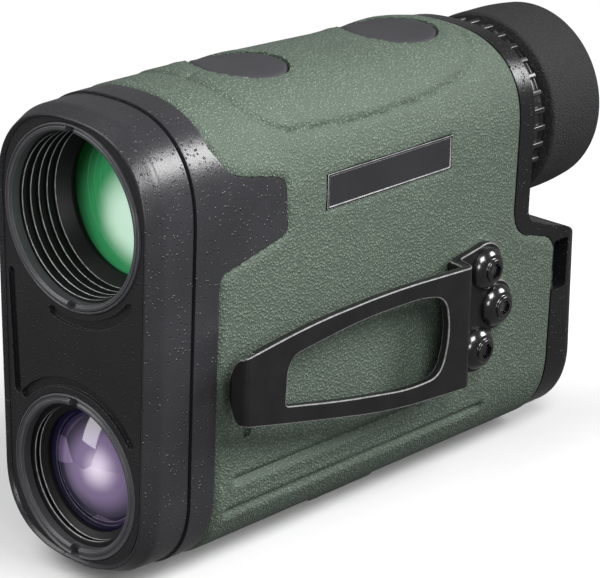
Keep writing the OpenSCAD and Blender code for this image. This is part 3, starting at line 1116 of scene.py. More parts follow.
@dataclass
class FrontEnd:
    """The black front: bezel with a chamfered lip, face plate, and the band with its side tabs."""

    lip_back: float = 3.0
    bezel_back: float = 9.2
    band_back: float = 14.6
    opening_inset: float = 2.75
    plate_gap: float = 0.16
    plate_front: float = 0.55
    plate_back: float = 3.4
    plate_ends: float = 0.55
    groove_depth: float = 0.7
    arc_half: float = 0.85
    line_half: float = 0.8
    tab: tuple = (
        (14.6, 34.2), (15.4, 35.6, 1.2), (29.7, 38.9, 1.4), (29.1, 47.9, 0.9), (27.2, 48.8, 1.4),
        (17.4, 50.9, 3.0), (14.6, 55.6),
    )

    def tab_corners(self, grow: float = 0.0) -> list[tuple[float, ...]]:
        """Returns the tab's outline from the side, with its open end far inside the band.

        Args:
            grow: how far the outline is pushed out.

        Returns:
            Corners back and up, with each corner's own setback.
        """
        centre = (20.0, 43.0)
        grown = []
        for back, rise, *setback in self.tab:
            reach = math.hypot(back - centre[0], rise - centre[1])
            scale = 1 + grow / reach
            grown.append((centre[0] + (back - centre[0]) * scale,
                          centre[1] + (rise - centre[1]) * scale, *setback))
        return grown

    def bezel(self) -> bpy.types.Object:
        """Builds the bezel as a ring run round the body's section.

        Returns:
            The finished piece.
        """
        profile = rounded(
            [
                (self.opening_inset - 0.5, 0.0, 0.35), (1.95, 0.05, 0.35), (0.75, self.lip_back, 0.6),
                (0.62, self.bezel_back - 0.15, 0.25), (2.4, self.bezel_back, 0.1),
                (self.opening_inset, self.bezel_back - 0.4, 0.0), (self.opening_inset, 0.75, 0.4),
            ], steps=4,
        )
        return sleeve("bezel", profile, 300)

    def face_plate(self) -> bpy.types.Object:
        """Builds the face plate with its two holes and its sunk grooves.

        Returns:
            The finished piece.
        """
        inset = self.opening_inset + self.plate_gap
        edge = BODY.outline(220, inset, inset - self.plate_ends)
        plate = slab("face_plate", edge.tolist(), Along.BACK, self.plate_front, self.plate_back)
        upper_r = RINGS.upper_radius + 0.12
        lower_r = RINGS.lower_radius + 0.12
        tools = [
            rod("hole", upper_r, -1, 5, Along.BACK, 0, PITCH, 96),
            rod("hole", lower_r, -1, 5, Along.BACK, 0, 0, 96),
            self.groove_arc((0.0, PITCH), upper_r + 1.7, 254, 318),
            self.groove_arc((0.0, 0.0), lower_r + 1.9, 37, 136),
            self.groove_line((-14.3, 31.4), (-13.2, 11.6)),
        ]
        for tool in tools:
            worked(plate, Join.CUT, tool)
        return bevelled(plate, 0.2, 3, 40)

    def groove_arc(
        self, centre: tuple[float, float], radius: float, start: float, end: float
    ) -> bpy.types.Object:
        """Returns the cutter of a groove with round ends that follows a ring.

        Args:
            centre: middle of the ring, across and up.
            radius: radius of the groove's middle line.
            start: angle where it starts, in degrees.
            end: angle where it ends.

        Returns:
            The cutter.
        """
        half, floor = self.arc_half, self.plate_front + self.groove_depth
        outer = arc(centre, radius + half, start, end, 36)
        inner = arc(centre, radius - half, end, start, 36)
        tip = arc(arc(centre, radius, end, end, 1)[0], half, end, end + 180, 8)[1:-1]
        tail = arc(arc(centre, radius, start, start, 1)[0], half, start + 180, start + 360, 8)[1:-1]
        return slab("groove", outer + tip + inner + tail, Along.BACK, -1, floor)

    def groove_line(self, top: tuple[float, float], foot: tuple[float, float]) -> bpy.types.Object:
        """Returns the cutter of a nearly upright groove with round ends."""
        outline = arc(top, self.line_half, 0, 180, 8) + arc(foot, self.line_half, 180, 360, 8)
        return slab("groove", outline, Along.BACK, -1, self.plate_front + self.groove_depth)

    def band(self) -> bpy.types.Object:
        """Builds the band behind the bezel together with the tab on each side.

        Returns:
            The finished piece.
        """
        rows = [(0.3, b) for b in np.linspace(self.bezel_back + 0.15, 31.0, 46)]
        profile = rows + [(2.1, b) for b in np.linspace(31.0, self.bezel_back + 0.15, 6)]
        band = sleeve("front_band", profile, 300)
        top = [(self.band_back, 90), (60, 90), (60, -40), (self.band_back, -40)]
        outline = top + rounded(self.tab_corners(), steps=6)
        waste = slab("waste", outline, Along.ACROSS, -40, 40)
        band = worked(band, Join.CUT, waste)
        return bevelled(band, 0.3, 3, 50)

    def build(self, studio: Studio) -> None:
        """Builds and dresses the front pieces.

        Args:
            studio: the finishes, and the calls that hand pieces to the frame.
        """
        studio.stands_for(self.bezel(), "front_bezel")
        studio.stands_for(self.face_plate(), "front_face_plate", 30)
        studio.stands_for(self.band(), "front_housing")


@dataclass
class Rings:
    """Retaining rings, barrels and lenses of both openings."""

    upper_radius: float = 15.3
    lower_radius: float = 14.0
    upper_bore: float = 13.9
    lower_bore: float = 12.2
    notch_half: float = 0.95
    notch_depth: float = 1.2

    def retaining_ring(
        self, name: str, rise: float, outer: float, bore: float, front: float
    ) -> bpy.types.Object:
        """Builds a ring with a stepped face and two spanner notches.

        Args:
            name: the piece's name.
            rise: height of its axis.
            outer: outside radius.
            bore: radius of the bore.
            front: how far back its front face is.

        Returns:
            The finished piece.
        """
        profile = [
            (bore, front + 0.35), (bore + 0.35, front), (bore + 0.75, front), (bore + 0.95, front + 0.3),
            (outer - 0.5, front + 0.3), (outer - 0.3, front + 0.05), (outer - 0.08, front + 0.15),
            (outer, front + 0.4), (outer, 2.1), (bore, 2.1),
        ]
        ring = turned(name, profile, Along.BACK, 0, rise, 128)
        half = self.notch_half
        for side in (-1, 1):
            near, far = rise + side * (bore - 1), rise + side * (outer - 0.25)
            notch = rounded([(-half, near), (half, near), (half, far), (-half, far)], 0.15)
            tool = slab("notch", notch, Along.BACK, front - 1, front + self.notch_depth)
            worked(ring, Join.CUT, tool)
        return bevelled(ring, 0.08, 2, 40)

    def barrel(
        self, name: str, rise: float, mouth: float, body: float, bore: float, ridges: Sequence[float],
        seat: float, seat_back: float, end: float,
    ) -> bpy.types.Object:
        """Builds a lens barrel whose bore is cut in sharp ridges that stop stray light.

        Args:
            name: the piece's name.
            rise: height of its axis.
            mouth: outside radius at the front.
            body: outside radius behind that.
            bore: radius of the ridges' crests.
            ridges: where each ridge starts.
            seat: radius of the lens seat.
            seat_back: how far back the lens rim sits.
            end: where the barrel ends.

        Returns:
            The barrel, with the crests marked as edges, which its finish paints near white as a painted
            highlight.
        """
        profile: list[tuple[float, float]] = [(mouth, 2.2), (bore + 0.2, 2.2)]
        for start, stop in zip(ridges, ridges[1:]):
            profile += [(bore, start), (bore, start + 0.2), (bore + 0.62, start + 0.34),
                        (bore + 0.62, stop - 0.06)]
        profile += [
            (bore, ridges[-1]), (bore, ridges[-1] + 0.2), (seat - 0.3, seat_back - 0.9),
            (seat - 0.35, seat_back - 0.25), (seat + 0.05, seat_back - 0.2), (seat + 0.05, end - 1.5),
            (seat - 1.2, end - 1.5), (seat - 1.2, end), (body, end), (body, 8.9), (mouth, 8.9),
        ]
        tube = turned(name, profile, Along.BACK, 0, rise, 128)
        centres = np.zeros(len(tube.data.polygons) * 3)
        tube.data.polygons.foreach_get("center", centres)
        spots = centres.reshape(-1, 3)
        reach = np.hypot(spots[:, 0], spots[:, 2] - place(0, 0, rise).z) / MM
        backs = (spots[:, 1] - FRONT_RIM) / MM
        # The ridge crests are marked for barrel_black's near-white edge colour: a painted highlight.
        crest = (np.abs(reach - bore) < 0.02) & (backs < ridges[-1] + 0.2)
        return marked(tube, crest)

    def lens(
        self, name: str, rise: float, radius: float, rim: float, bulge: float, thick: float
    ) -> bpy.types.Object:
        """Builds a lens with a domed front, a polished bevel at the rim and a flat back.

        Args:
            name: the piece's name.
            rise: height of its axis.
            radius: the lens's radius.
            rim: how far back its rim is.
            bulge: height of the dome.
            thick: thickness at the rim.

        Returns:
            The finished piece.
        """
        ball = (radius**2 + bulge**2) / (2 * bulge)
        lean = math.asin((radius - 0.35) / ball)
        dome = [
            (ball * math.sin(a), rim - bulge + ball * (1 - math.cos(a)))
            for a in np.linspace(0, lean, 22)
        ]
        profile = dome + [(radius, rim + 0.25), (radius, rim + thick), (0.0, rim + thick)]
        return turned(name, profile, Along.BACK, 0, rise, 128)

    def build(self, studio: Studio) -> None:
        """Builds and dresses the rings, barrels and lenses.

        Args:
            studio: the finishes, and the calls that hand pieces to the frame.
        """
        studio.stands_for(
            self.retaining_ring("upper_ring", PITCH, self.upper_radius, self.upper_bore, 0.1),
            "objective_retaining_ring")
        studio.stands_for(
            self.retaining_ring("lower_ring", 0, self.lower_radius, self.lower_bore, 0.3),
            "receiver_retaining_ring")
        studio.stands_for(
            self.barrel("upper_barrel", PITCH, 15.25, 14.9, 13.45, [2.2 + 1.75 * i for i in range(5)],
                        12.5, 12.5, 24.0), "objective_barrel", 24)
        studio.stands_for(
            self.barrel("lower_barrel", 0, 13.95, 13.6, 11.35, [2.3, 3.3], 10.6, 5.0, 27.0),
            "receiver_barrel", 24)
        studio.stands_for(self.lens("upper_lens", PITCH, 12.48, 12.5, 1.6, 6.2), "objective_lens", 50)
        studio.stands_for(self.lens("lower_lens", 0, 10.58, 5.0, 3.0, 4.0), "receiver_lens", 50)


RINGS = Rings()


@dataclass
class Armour:
    """The rubber skin: soft rolled edges, sunk line round the buttons, flutes and tripod bump."""

    front: float = 14.75
    back: float = 99.65
    wall: float = 1.65
    columns: int = 420
    rows: int = 184
    buttons: tuple[float, float] = (37.7, 74.6)
    deck: tuple = (
        (24.6, 0, 2.0), (24.7, 12.5, 7.0), (29.6, 18.3, 5.0), (50.0, 19.6, 14.0), (70.0, 18.0, 12.0),
        (80.5, 14.6, 6.0), (85.2, 6.0, 5.0), (85.4, 0, 1.0),
    )
    badge: tuple[float, float, float, float] = (38.5, 69.4, 40.6, 46.8)
    screws: tuple = ((77.6, 21.4), (80.6, 13.9), (76.0, 7.1))
    slot: tuple[float, float, float, float] = (21.4, 19.0, 7.2, 1.1)
    socket_radius: float = 5.6
    flutes: tuple = (((19.5, -0.9), (64.0, -0.9)), ((18.0, -6.4), (81.5, -6.4)))

    def crown(self, back: float) -> float:
        """Returns the height of the top above the upper lens axis.

        Args:
            back: distance back from the front rim.

        Returns:
            The height.
        """
        stations = (14.6, 25.0, 35.0, 50.0, 65.0, 80.0, 90.0, 100.0)
        heights = (61.85, 61.75, 61.6, 60.95, 60.3, 60.3, 59.3, 58.0)
        return float(np.interp(back, stations, heights)) - PITCH

    def side_profile(self, drop: float = 0.0) -> list[tuple[float, float]]:
        """Returns the rear edge from the side: upright behind the eyepiece, waist, lower hump.

        Args:
            drop: how far the line is pulled in from the armour's edge.

        Returns:
            Points back and up, from the top down.
        """
        return (
            [(87.6 - drop, 70.0)] + arc((93.2, 28.6), 5.6 + drop, 180, 266, 12)
            + arc((95.4, 17.8), 4.25 - drop, 82, 0, 10)
            + [(self.back - drop, -8.0)] + arc((95.9 - drop, -11.6), 3.7, 0, -62, 8)[1:]
            + [(97.0 - drop, -24.0)]
        )

    def skin(self) -> np.ndarray:
        """Returns the outer surface's points with every soft feature pressed in or raised.

        Returns:
            The points, row by row from front to back.
        """
        backs = np.linspace(self.front, self.back, self.rows)
        rings = [BODY.outline(self.columns, crown=self.crown(b)) for b in backs]
        ring = np.array(rings)
        across, rise = ring[..., 0], ring[..., 1]
        back = np.repeat(backs[:, None], self.columns, axis=1)
        tangent = np.roll(ring, -1, axis=1) - np.roll(ring, 1, axis=1)
        normal = np.stack([tangent[..., 1], -tangent[..., 0]], axis=2) * -1
        normal /= np.linalg.norm(normal, axis=2, keepdims=True)
        steps = np.linalg.norm(np.diff(ring, axis=1, append=ring[:, :1]), axis=2)
        around = np.cumsum(steps, axis=1) - steps
        around = np.where(around > steps.sum(axis=1, keepdims=True) / 2,
                          steps.sum(axis=1, keepdims=True) - around, around)
        lift = self.relief(across, back, rise, around)
        ring = ring + normal * lift[..., None]
        widest, tallest = BODY.half_width, BODY.crown + PITCH
        ring[..., 0] = np.clip(ring[..., 0], -widest, widest)
        ring[..., 1] = np.minimum(ring[..., 1], tallest)
        self.add_bump(ring, back)
        return np.stack([ring[..., 0], back, ring[..., 1]], axis=2)

    def relief(
        self, across: np.ndarray, back: np.ndarray, rise: np.ndarray, around: np.ndarray
    ) -> np.ndarray:
        """Returns how far each point of the skin stands out or is pressed in.

        Args:
            across: distances from the middle plane.
            back: distances back.
            rise: heights.
            around: distances round the skin from the top middle.

        Returns:
            The lift of each point, outwards.
        """

        def roll(gap: np.ndarray, width: float, depth: float) -> np.ndarray:
            """Rounds the skin down towards an edge."""
            return -depth * np.clip(1 - gap / width, 0, 1) ** 2

        def ridge(gap: np.ndarray, width: float, height: float) -> np.ndarray:
            """Raises or sinks a soft line."""
            return height * np.exp(-((gap / width) ** 2))

        lift = roll(back - self.front, 1.1, 0.5)
        flank = np.abs(across) > 13
        tab_gap = distance_to(back, rise, rounded(FRONT.tab_corners(0.15), steps=6), True)
        lift += np.where(flank, roll(tab_gap, 1.0, 0.45) + ridge(tab_gap - 1.8, 0.8, 0.06), 0)
        lift += roll(distance_to(back, rise, self.side_profile(), False), 1.2, 0.5)
        near, far, low, high = self.badge
        plate = [(near, low), (far, low), (far, high), (near, high)]
        plate_gap = distance_to(back, rise, plate, True)
        lift += np.where(across > 13, roll(plate_gap, 0.9, 0.28), 0)
        top = rise > PITCH + 8
        for centre in self.buttons:
            edge = [(a, centre + b) for a, b in button_outline(0.3)]
            gap = distance_to(across, back, edge, True)
            within = inside_of(across, back, edge)
            lift += np.where(top & ~within, roll(gap, 0.8, 0.3) + ridge(gap - 1.7, 0.9, 0.1), 0)
        deck = rounded(self.deck, steps=8)
        gap = distance_to(back, around, deck, False)
        closed = deck + [(deck[-1][0], -5.0), (deck[0][0], -5.0)]
        within = inside_of(back, around, closed)
        high_up = rise > PITCH
        signed = np.where(within, gap, -gap)
        step = 0.24 / (1 + np.exp(np.clip(-signed / 0.28, -30, 30)))
        lift += np.where(high_up, step + ridge(gap, 0.48, -0.62), 0)
        for start, end in self.flutes:
            gap = distance_to(back, rise, [start, end], False)
            side = np.abs(across) > 9
            shape = -0.85 * np.clip(1.2 - gap / 0.8, 0, 1) ** 1.3 + ridge(gap - 1.6, 0.6, 0.1)
            lift += np.where(side, shape, 0)
        pads = np.zeros_like(lift)
        for screw in self.screws:
            gap = np.hypot(back - screw[0], rise - screw[1])
            halo = 0.35 / (1 + np.exp(np.clip((gap - 5.2) / 0.3, -30, 30)))
            pads = np.where(across > 9, np.maximum(pads, halo), pads)
        return lift + pads

    def add_bump(self, ring: np.ndarray, back: np.ndarray) -> None:
        """Pulls the middle of the underside down to the flat the instrument stands on.

        Args:
            ring: the skin's points, changed in place.
            back: their distances back.
        """
        floor = rise_of(Vector(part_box("rubber_armour")[0]).z)
        centre = back_of(0.0)
        along = np.clip((9.9 - np.abs(back - centre)) / 2.4, 0, 1)
        wide = np.clip((8.0 - np.abs(ring[..., 0])) / 1.8, 0, 1)
        share = (along * along * (3 - 2 * along)) * (wide * wide * (3 - 2 * wide))
        under = ring[..., 1] < -10
        ring[..., 1] = np.where(under, ring[..., 1] * (1 - share) + (floor + 0.02) * share, ring[..., 1])

    def shell(self) -> bpy.types.Object:
        """Builds the skin with its inner wall.

        Returns:
            The finished piece.
        """
        outer = self.skin()
        inner = []
        for back in np.linspace(self.back, self.front, 8):
            ring = BODY.outline(self.columns, self.wall, self.wall, self.crown(back))
            inner.append(np.column_stack([ring[:, 0], np.full(self.columns, back), ring[:, 1]]))
        return woven("armour", np.concatenate([outer, np.array(inner)]), closed_rows=True)

    def openings(self) -> list[bpy.types.Object]:
        """Returns the cutters for tabs, buttons, badge, socket, clip slot and the rear edge.

        Returns:
            The cutters.
        """
        tab = rounded(FRONT.tab_corners(0.15), steps=6)
        near, far, low, high = self.badge
        tools = [slab("tool", [(5, 34.2), *tab, (5, 55.6)], Along.ACROSS, -40, 40)]
        for centre in self.buttons:
            edge = [(a, centre + b) for a, b in button_outline(0.3)]
            tools.append(slab("tool", edge, Along.UP, PITCH + 6, PITCH + 30))
        tools.append(slab("tool", rounded([
            (near, low), (far, low), (far, high), (near, high)], 0.25), Along.ACROSS, 18.0, 30))
        rear = self.side_profile()
        tools.append(slab("tool", rear + [(120, -24.0), (120, 70.0)], Along.ACROSS, -40, 40))
        at, top, foot, half = self.slot
        slot = arc((at, top), half, 0, 180, 8) + arc((at, foot), half, 180, 360, 8)
        tools.append(slab("tool", slot, Along.ACROSS, 17.2, 30))
        tools.append(rod("tool", self.socket_radius, -30, -12, Along.UP, 0, back_of(0.0), 64))
        return tools

    def build(self, studio: Studio) -> None:
        """Builds and dresses the armour.

        Args:
            studio: the finishes, and the calls that hand pieces to the frame.
        """
        armour = self.shell()
        for tool in self.openings():
            worked(armour, Join.CUT, tool, solver="MANIFOLD")
        studio.stands_for(armour, "rubber_armour", 50)


FRONT = FrontEnd()


@dataclass
class Buttons:
    """The two buttons: slim drops with a shallow dish that follow the body's crown."""

    roll: float = 0.55
    proud: float = 0.1
    dish: float = 0.32
    foot_rise: float = 56.5

    def cap(self, name: str, centre: float) -> bpy.types.Object:
        """Builds one button from rings drawn in towards its middle.

        Args:
            name: the piece's name.
            centre: how far back the button's centre is.

        Returns:
            The finished piece.
        """
        edge = np.array(button_outline(0.0))
        heart = np.array([-1.0, 0.0])
        rows = []
        for scale in (0.0, 0.12, 0.3, 0.5, 0.68, 0.8, 0.88, 0.93, 0.965, 0.985, 1.0):
            spot = heart + (edge - heart) * scale
            crown = np.array([ARMOUR.crown(centre + b) for b in spot[:, 1]])
            top = BODY.top_at(spot[:, 0], crown) + self.proud
            rim = self.roll * max(0.0, (scale - 0.88) / 0.12) ** 2.4
            dish = self.dish * (1 - scale**2)
            rows.append(np.column_stack([spot[:, 0], centre + spot[:, 1], top - rim - dish]))
        wall = rows[-1].copy()
        wall[:, 2] = self.foot_rise
        foot = wall.copy()
        foot[:, 0], foot[:, 1] = heart[0], centre
        return woven(name, np.array(rows + [wall, foot]), closed_rows=False)

    def build(self, studio: Studio) -> None:
        """Builds and dresses both buttons.

        Args:
            studio: the finishes, and the calls that hand pieces to the frame.
        """
        for name, node, centre in zip(
            ("menu_button_cap", "measure_button_cap"), ("menu_button", "measure_button"), ARMOUR.buttons
        ):
            studio.stands_for(self.cap(name, centre), node, 50)


ARMOUR = Armour()


# ---------------------------------------------------------------- back, clip and small parts


def ringed(
    first: bpy.types.Object, count: int, rise: float, start: float = 0.0
) -> bpy.types.Object:
    """Copies a tooth round a line that runs back through the body and joins the copies.

    Args:
        first: the tooth, at the top of its circle.
        count: number of teeth.
        rise: height of the line.
        start: turn of the first tooth, in degrees.

    Returns:
        All the teeth as one object.
    """
    pivot = place(0, 0, rise)
    teeth = []
    for index in range(count):
        turn = Matrix.Rotation(math.radians(start + 360 * index / count), 4, "Y")
        tooth = bpy.data.objects.new(first.name, first.data.copy())
        bpy.context.collection.objects.link(tooth)
        tooth.data.transform(Matrix.Translation(pivot) @ turn @ Matrix.Translation(-pivot))
        teeth.append(tooth)
    bpy.data.objects.remove(first)
    return joined(teeth[0], *teeth[1:])


@dataclass
class RearHousing:
    """The black rear: upright plate behind the armour, waist, lower hump, collar and lanyard slot."""

    start: float = 86.3
    plate_back: float = 91.5
    hump_back: float = 107.35
    corner: float = 4.0
    inset: float = 0.25
    cap_rise: float = 3.0
    eye_bore: float = 13.1
    battery_bore: float = 9.2
    cap_bore: float = 11.3

    def solid(self, name: str, inset: float, end: float) -> bpy.types.Object:
        """Builds a closed stretch of the body with its two upright rear corners rounded.

        Args:
            name: the piece's name.
            inset: how far it is drawn in from the body's outside.
            end: where it ends.

        Returns:
            The finished piece.
        """
        backs = [*np.linspace(self.start, end - self.corner, 12),
                 *(end - self.corner + self.corner * np.sin(np.radians(np.linspace(10, 90, 9))))]
        rows = []
        for back in backs:
            ring = BODY.outline(200, inset, inset, ARMOUR.crown(back))
            bend = self.corner - 1.8 * np.clip((20 - ring[:, 1]) / 24, 0, 1)
            past = np.clip(back - (end - bend), 0, bend)
            drawn = bend - np.sqrt(np.maximum(bend**2 - past**2, 0))
            ring[:, 0] *= 1 - drawn / BODY.half_width
            rows.append(np.column_stack([ring[:, 0], np.full(200, back), ring[:, 1]]))
        for row in (rows[0], rows[-1]):
            heart = row.copy()
            heart[:, 0], heart[:, 2] = 0.0, 20.0
            rows = [heart, *rows] if row is rows[0] else [*rows, heart]
        return woven(name, np.array(rows), closed_rows=False)

    def side_outline(self) -> list[tuple[float, float]]:
        """Returns the outline from the side.

        Returns:
            Points back and up.
        """
        return (
            [(self.start - 1, 70.0), (self.plate_back, 70.0)] + arc((95, 28.2), 3.5, 180, 268, 10)
            + arc((100.35, 15.8), 7.0, 84, 0, 14) + arc((102.35, -11.4), 5, 0, -88, 10)
            + [(self.start - 1, -24.0)]
        )

    def housing(self) -> bpy.types.Object:
        """Builds the housing with its bores, battery port and lanyard slot.

        Returns:
            The finished piece.
        """
        side = self.side_outline()
        shell = worked(self.solid("rear_shell", self.inset, self.hump_back), Join.KEEP,
                       slab("tool", side, Along.ACROSS, -40, 40))
        armour_edge = ARMOUR.side_profile(-0.12)
        shell = worked(shell, Join.CUT, slab(
            "tool", armour_edge + [(60, -24.0), (60, 70.0)], Along.ACROSS, -40, 40))
        core = worked(self.solid("core", 1.9, 101.0), Join.KEEP,
                      slab("tool", side, Along.ACROSS, -40, 40))
        shell = worked(shell, Join.FUSE, core)
        slot = rounded([(99.5, 10.8), (103.6, 10.8), (103.6, 20.2), (99.5, 20.2)], 0.8)
        rear_slot = rounded([(12.5, 99.6), (14.9, 99.6), (14.9, 120), (12.5, 120)], 0.0)
        for tool in (
            rod("tool", self.eye_bore, 80, 120, Along.BACK, 0, EYE_RISE, 96),
            rod("tool", self.battery_bore, 80, 120, Along.BACK, 0, self.cap_rise, 72),
            rod("tool", self.cap_bore, 105.0, 120, Along.BACK, 0, self.cap_rise, 96),
            slab("tool", slot, Along.ACROSS, 12.5, 40),
            slab("tool", rear_slot, Along.UP, 10.9, 20.1),
        ):
            shell = worked(shell, Join.CUT, tool)
        return bevelled(shell, 0.45, 3, 42)

    def collar(self) -> bpy.types.Object:
        """Builds the collar with the thin bead in front of the dioptre ring.

        Returns:
            The finished piece.
        """
        profile = rounded([
            (13.15, 90.9), (16.3, 90.9), (16.3, 92.0, 0.3), (15.7, 92.25, 0.2), (15.9, 92.55, 0.15),
            (16.25, 92.75, 0.2), (16.2, 93.1, 0.2), (15.4, 93.2, 0.2), (13.15, 93.2),
        ], steps=4)
        return turned("eyepiece_collar", profile, Along.BACK, 0, EYE_RISE, 128)

    def build(self, studio: Studio) -> None:
        """Builds and dresses the rear."""
        studio.stands_for(self.housing(), "rear_housing")
        studio.joins(self.collar(), "rear_housing")


@dataclass
class Eyepiece:
    """Fixed tube, knurled dioptre ring, guide ring and rubber eyecup."""

    lugs: int = 32
    ring_root: float = 15.15
    ring_radius: float = 16.2
    tube_radius: float = 13.0
    ring_bore: float = 13.06

    def tube(self) -> bpy.types.Object:
        """Builds the fixed tube with its flange and a fine thread at the end.

        Returns:
            The finished piece.
        """
        out, thread = self.tube_radius, []
        for turn in range(5):
            at = 104.4 + turn * 1.0
            thread += [(out, at), (out - 0.14, at + 0.25), (out - 0.14, at + 0.5), (out, at + 0.75)]
        profile = [(11.6, 84.1), (out, 84.1), (out, 86.35), (15.0, 86.35), (15.0, 88.0), (out, 88.0)]
        profile += thread + [(out, 109.7), (12.8, 109.9), (11.75, 109.9), (11.6, 109.75)]
        return turned("eyepiece_tube_body", profile, Along.BACK, 0, EYE_RISE, 128)

    def dioptre_ring(self) -> bpy.types.Object:
        """Builds the dioptre ring: a ribbed back half and square blocks in front.

        Returns:
            The finished piece.
        """
        profile = rounded([
            (self.ring_bore, 93.6), (15.3, 93.6, 0.2), (15.3, 94.0, 0.2), (self.ring_root, 94.1, 0.1),
            (self.ring_root, 97.3, 0.1), (15.5, 97.45, 0.1), (15.5, 97.8, 0.15),
            (self.ring_bore, 97.8),
        ], steps=3)
        hoop = turned("dioptre_hoop", profile, Along.BACK, 0, EYE_RISE, 128)
        top, root = EYE_RISE + self.ring_radius, EYE_RISE + self.ring_root - 0.5
        rib = slab("rib", [(-0.62, root), (0.62, root), (0.5, top), (-0.5, top)],
                   Along.BACK, 94.2, 97.75)
        block = slab("block", [(-0.95, root), (0.95, root), (0.8, top - 0.45), (-0.8, top - 0.45)],
                     Along.BACK, 93.7, 95.9)
        ribs = ringed(bevelled(rib, 0.3, 4, 40), self.lugs, EYE_RISE)
        blocks = ringed(bevelled(block, 0.14, 2, 40), self.lugs, EYE_RISE, 180 / self.lugs)
        return joined(hoop, ribs, blocks)

    def guide_ring(self) -> bpy.types.Object:
        """Builds the ring the eyecup climbs on, with two turned grooves.

        Returns:
            The finished piece.
        """
        profile = rounded([
            (self.ring_bore, 98.4), (14.35, 98.4, 0.2), (14.5, 98.7, 0.2), (14.5, 101.6), (14.2, 101.8),
            (14.2, 102.4), (14.5, 102.6), (14.5, 106.6), (14.2, 106.8), (14.2, 107.4), (14.5, 107.6),
            (14.5, 109.5, 0.2), (14.3, 109.8, 0.2), (self.ring_bore, 109.8),
        ], steps=3)
        return turned("eyecup_guide", profile, Along.BACK, 0, EYE_RISE, 128)

    def eyecup(self) -> bpy.types.Object:
        """Builds the rubber eyecup with its rolled rim.

        Returns:
            The finished piece.
        """
        profile = rounded([
            (14.56, 99.25, 0.15), (16.55, 99.2, 0.3), (16.9, 99.6, 0.35), (16.9, 108.0, 4.0),
            (16.35, 112.9, 1.2), (15.3, 114.0, 0.9), (13.8, 113.95, 0.9), (12.6, 112.6, 0.8),
            (12.6, 110.4, 0.2), (14.56, 110.32, 0.1),
        ], steps=6)
        return turned("eyecup_sleeve", profile, Along.BACK, 0, EYE_RISE, 144)

    def build(self, studio: Studio) -> None:
        """Builds and dresses the eyepiece.

        Args:
            studio: the finishes, and the calls that hand pieces to the frame.
        """
        studio.stands_for(self.tube(), "eyepiece_tube")
        studio.stands_for(self.dioptre_ring(), "dioptre_ring", 30)
        studio.stands_for(self.guide_ring(), "eyecup_guide_ring")
        studio.stands_for(self.eyecup(), "eyecup", 40)


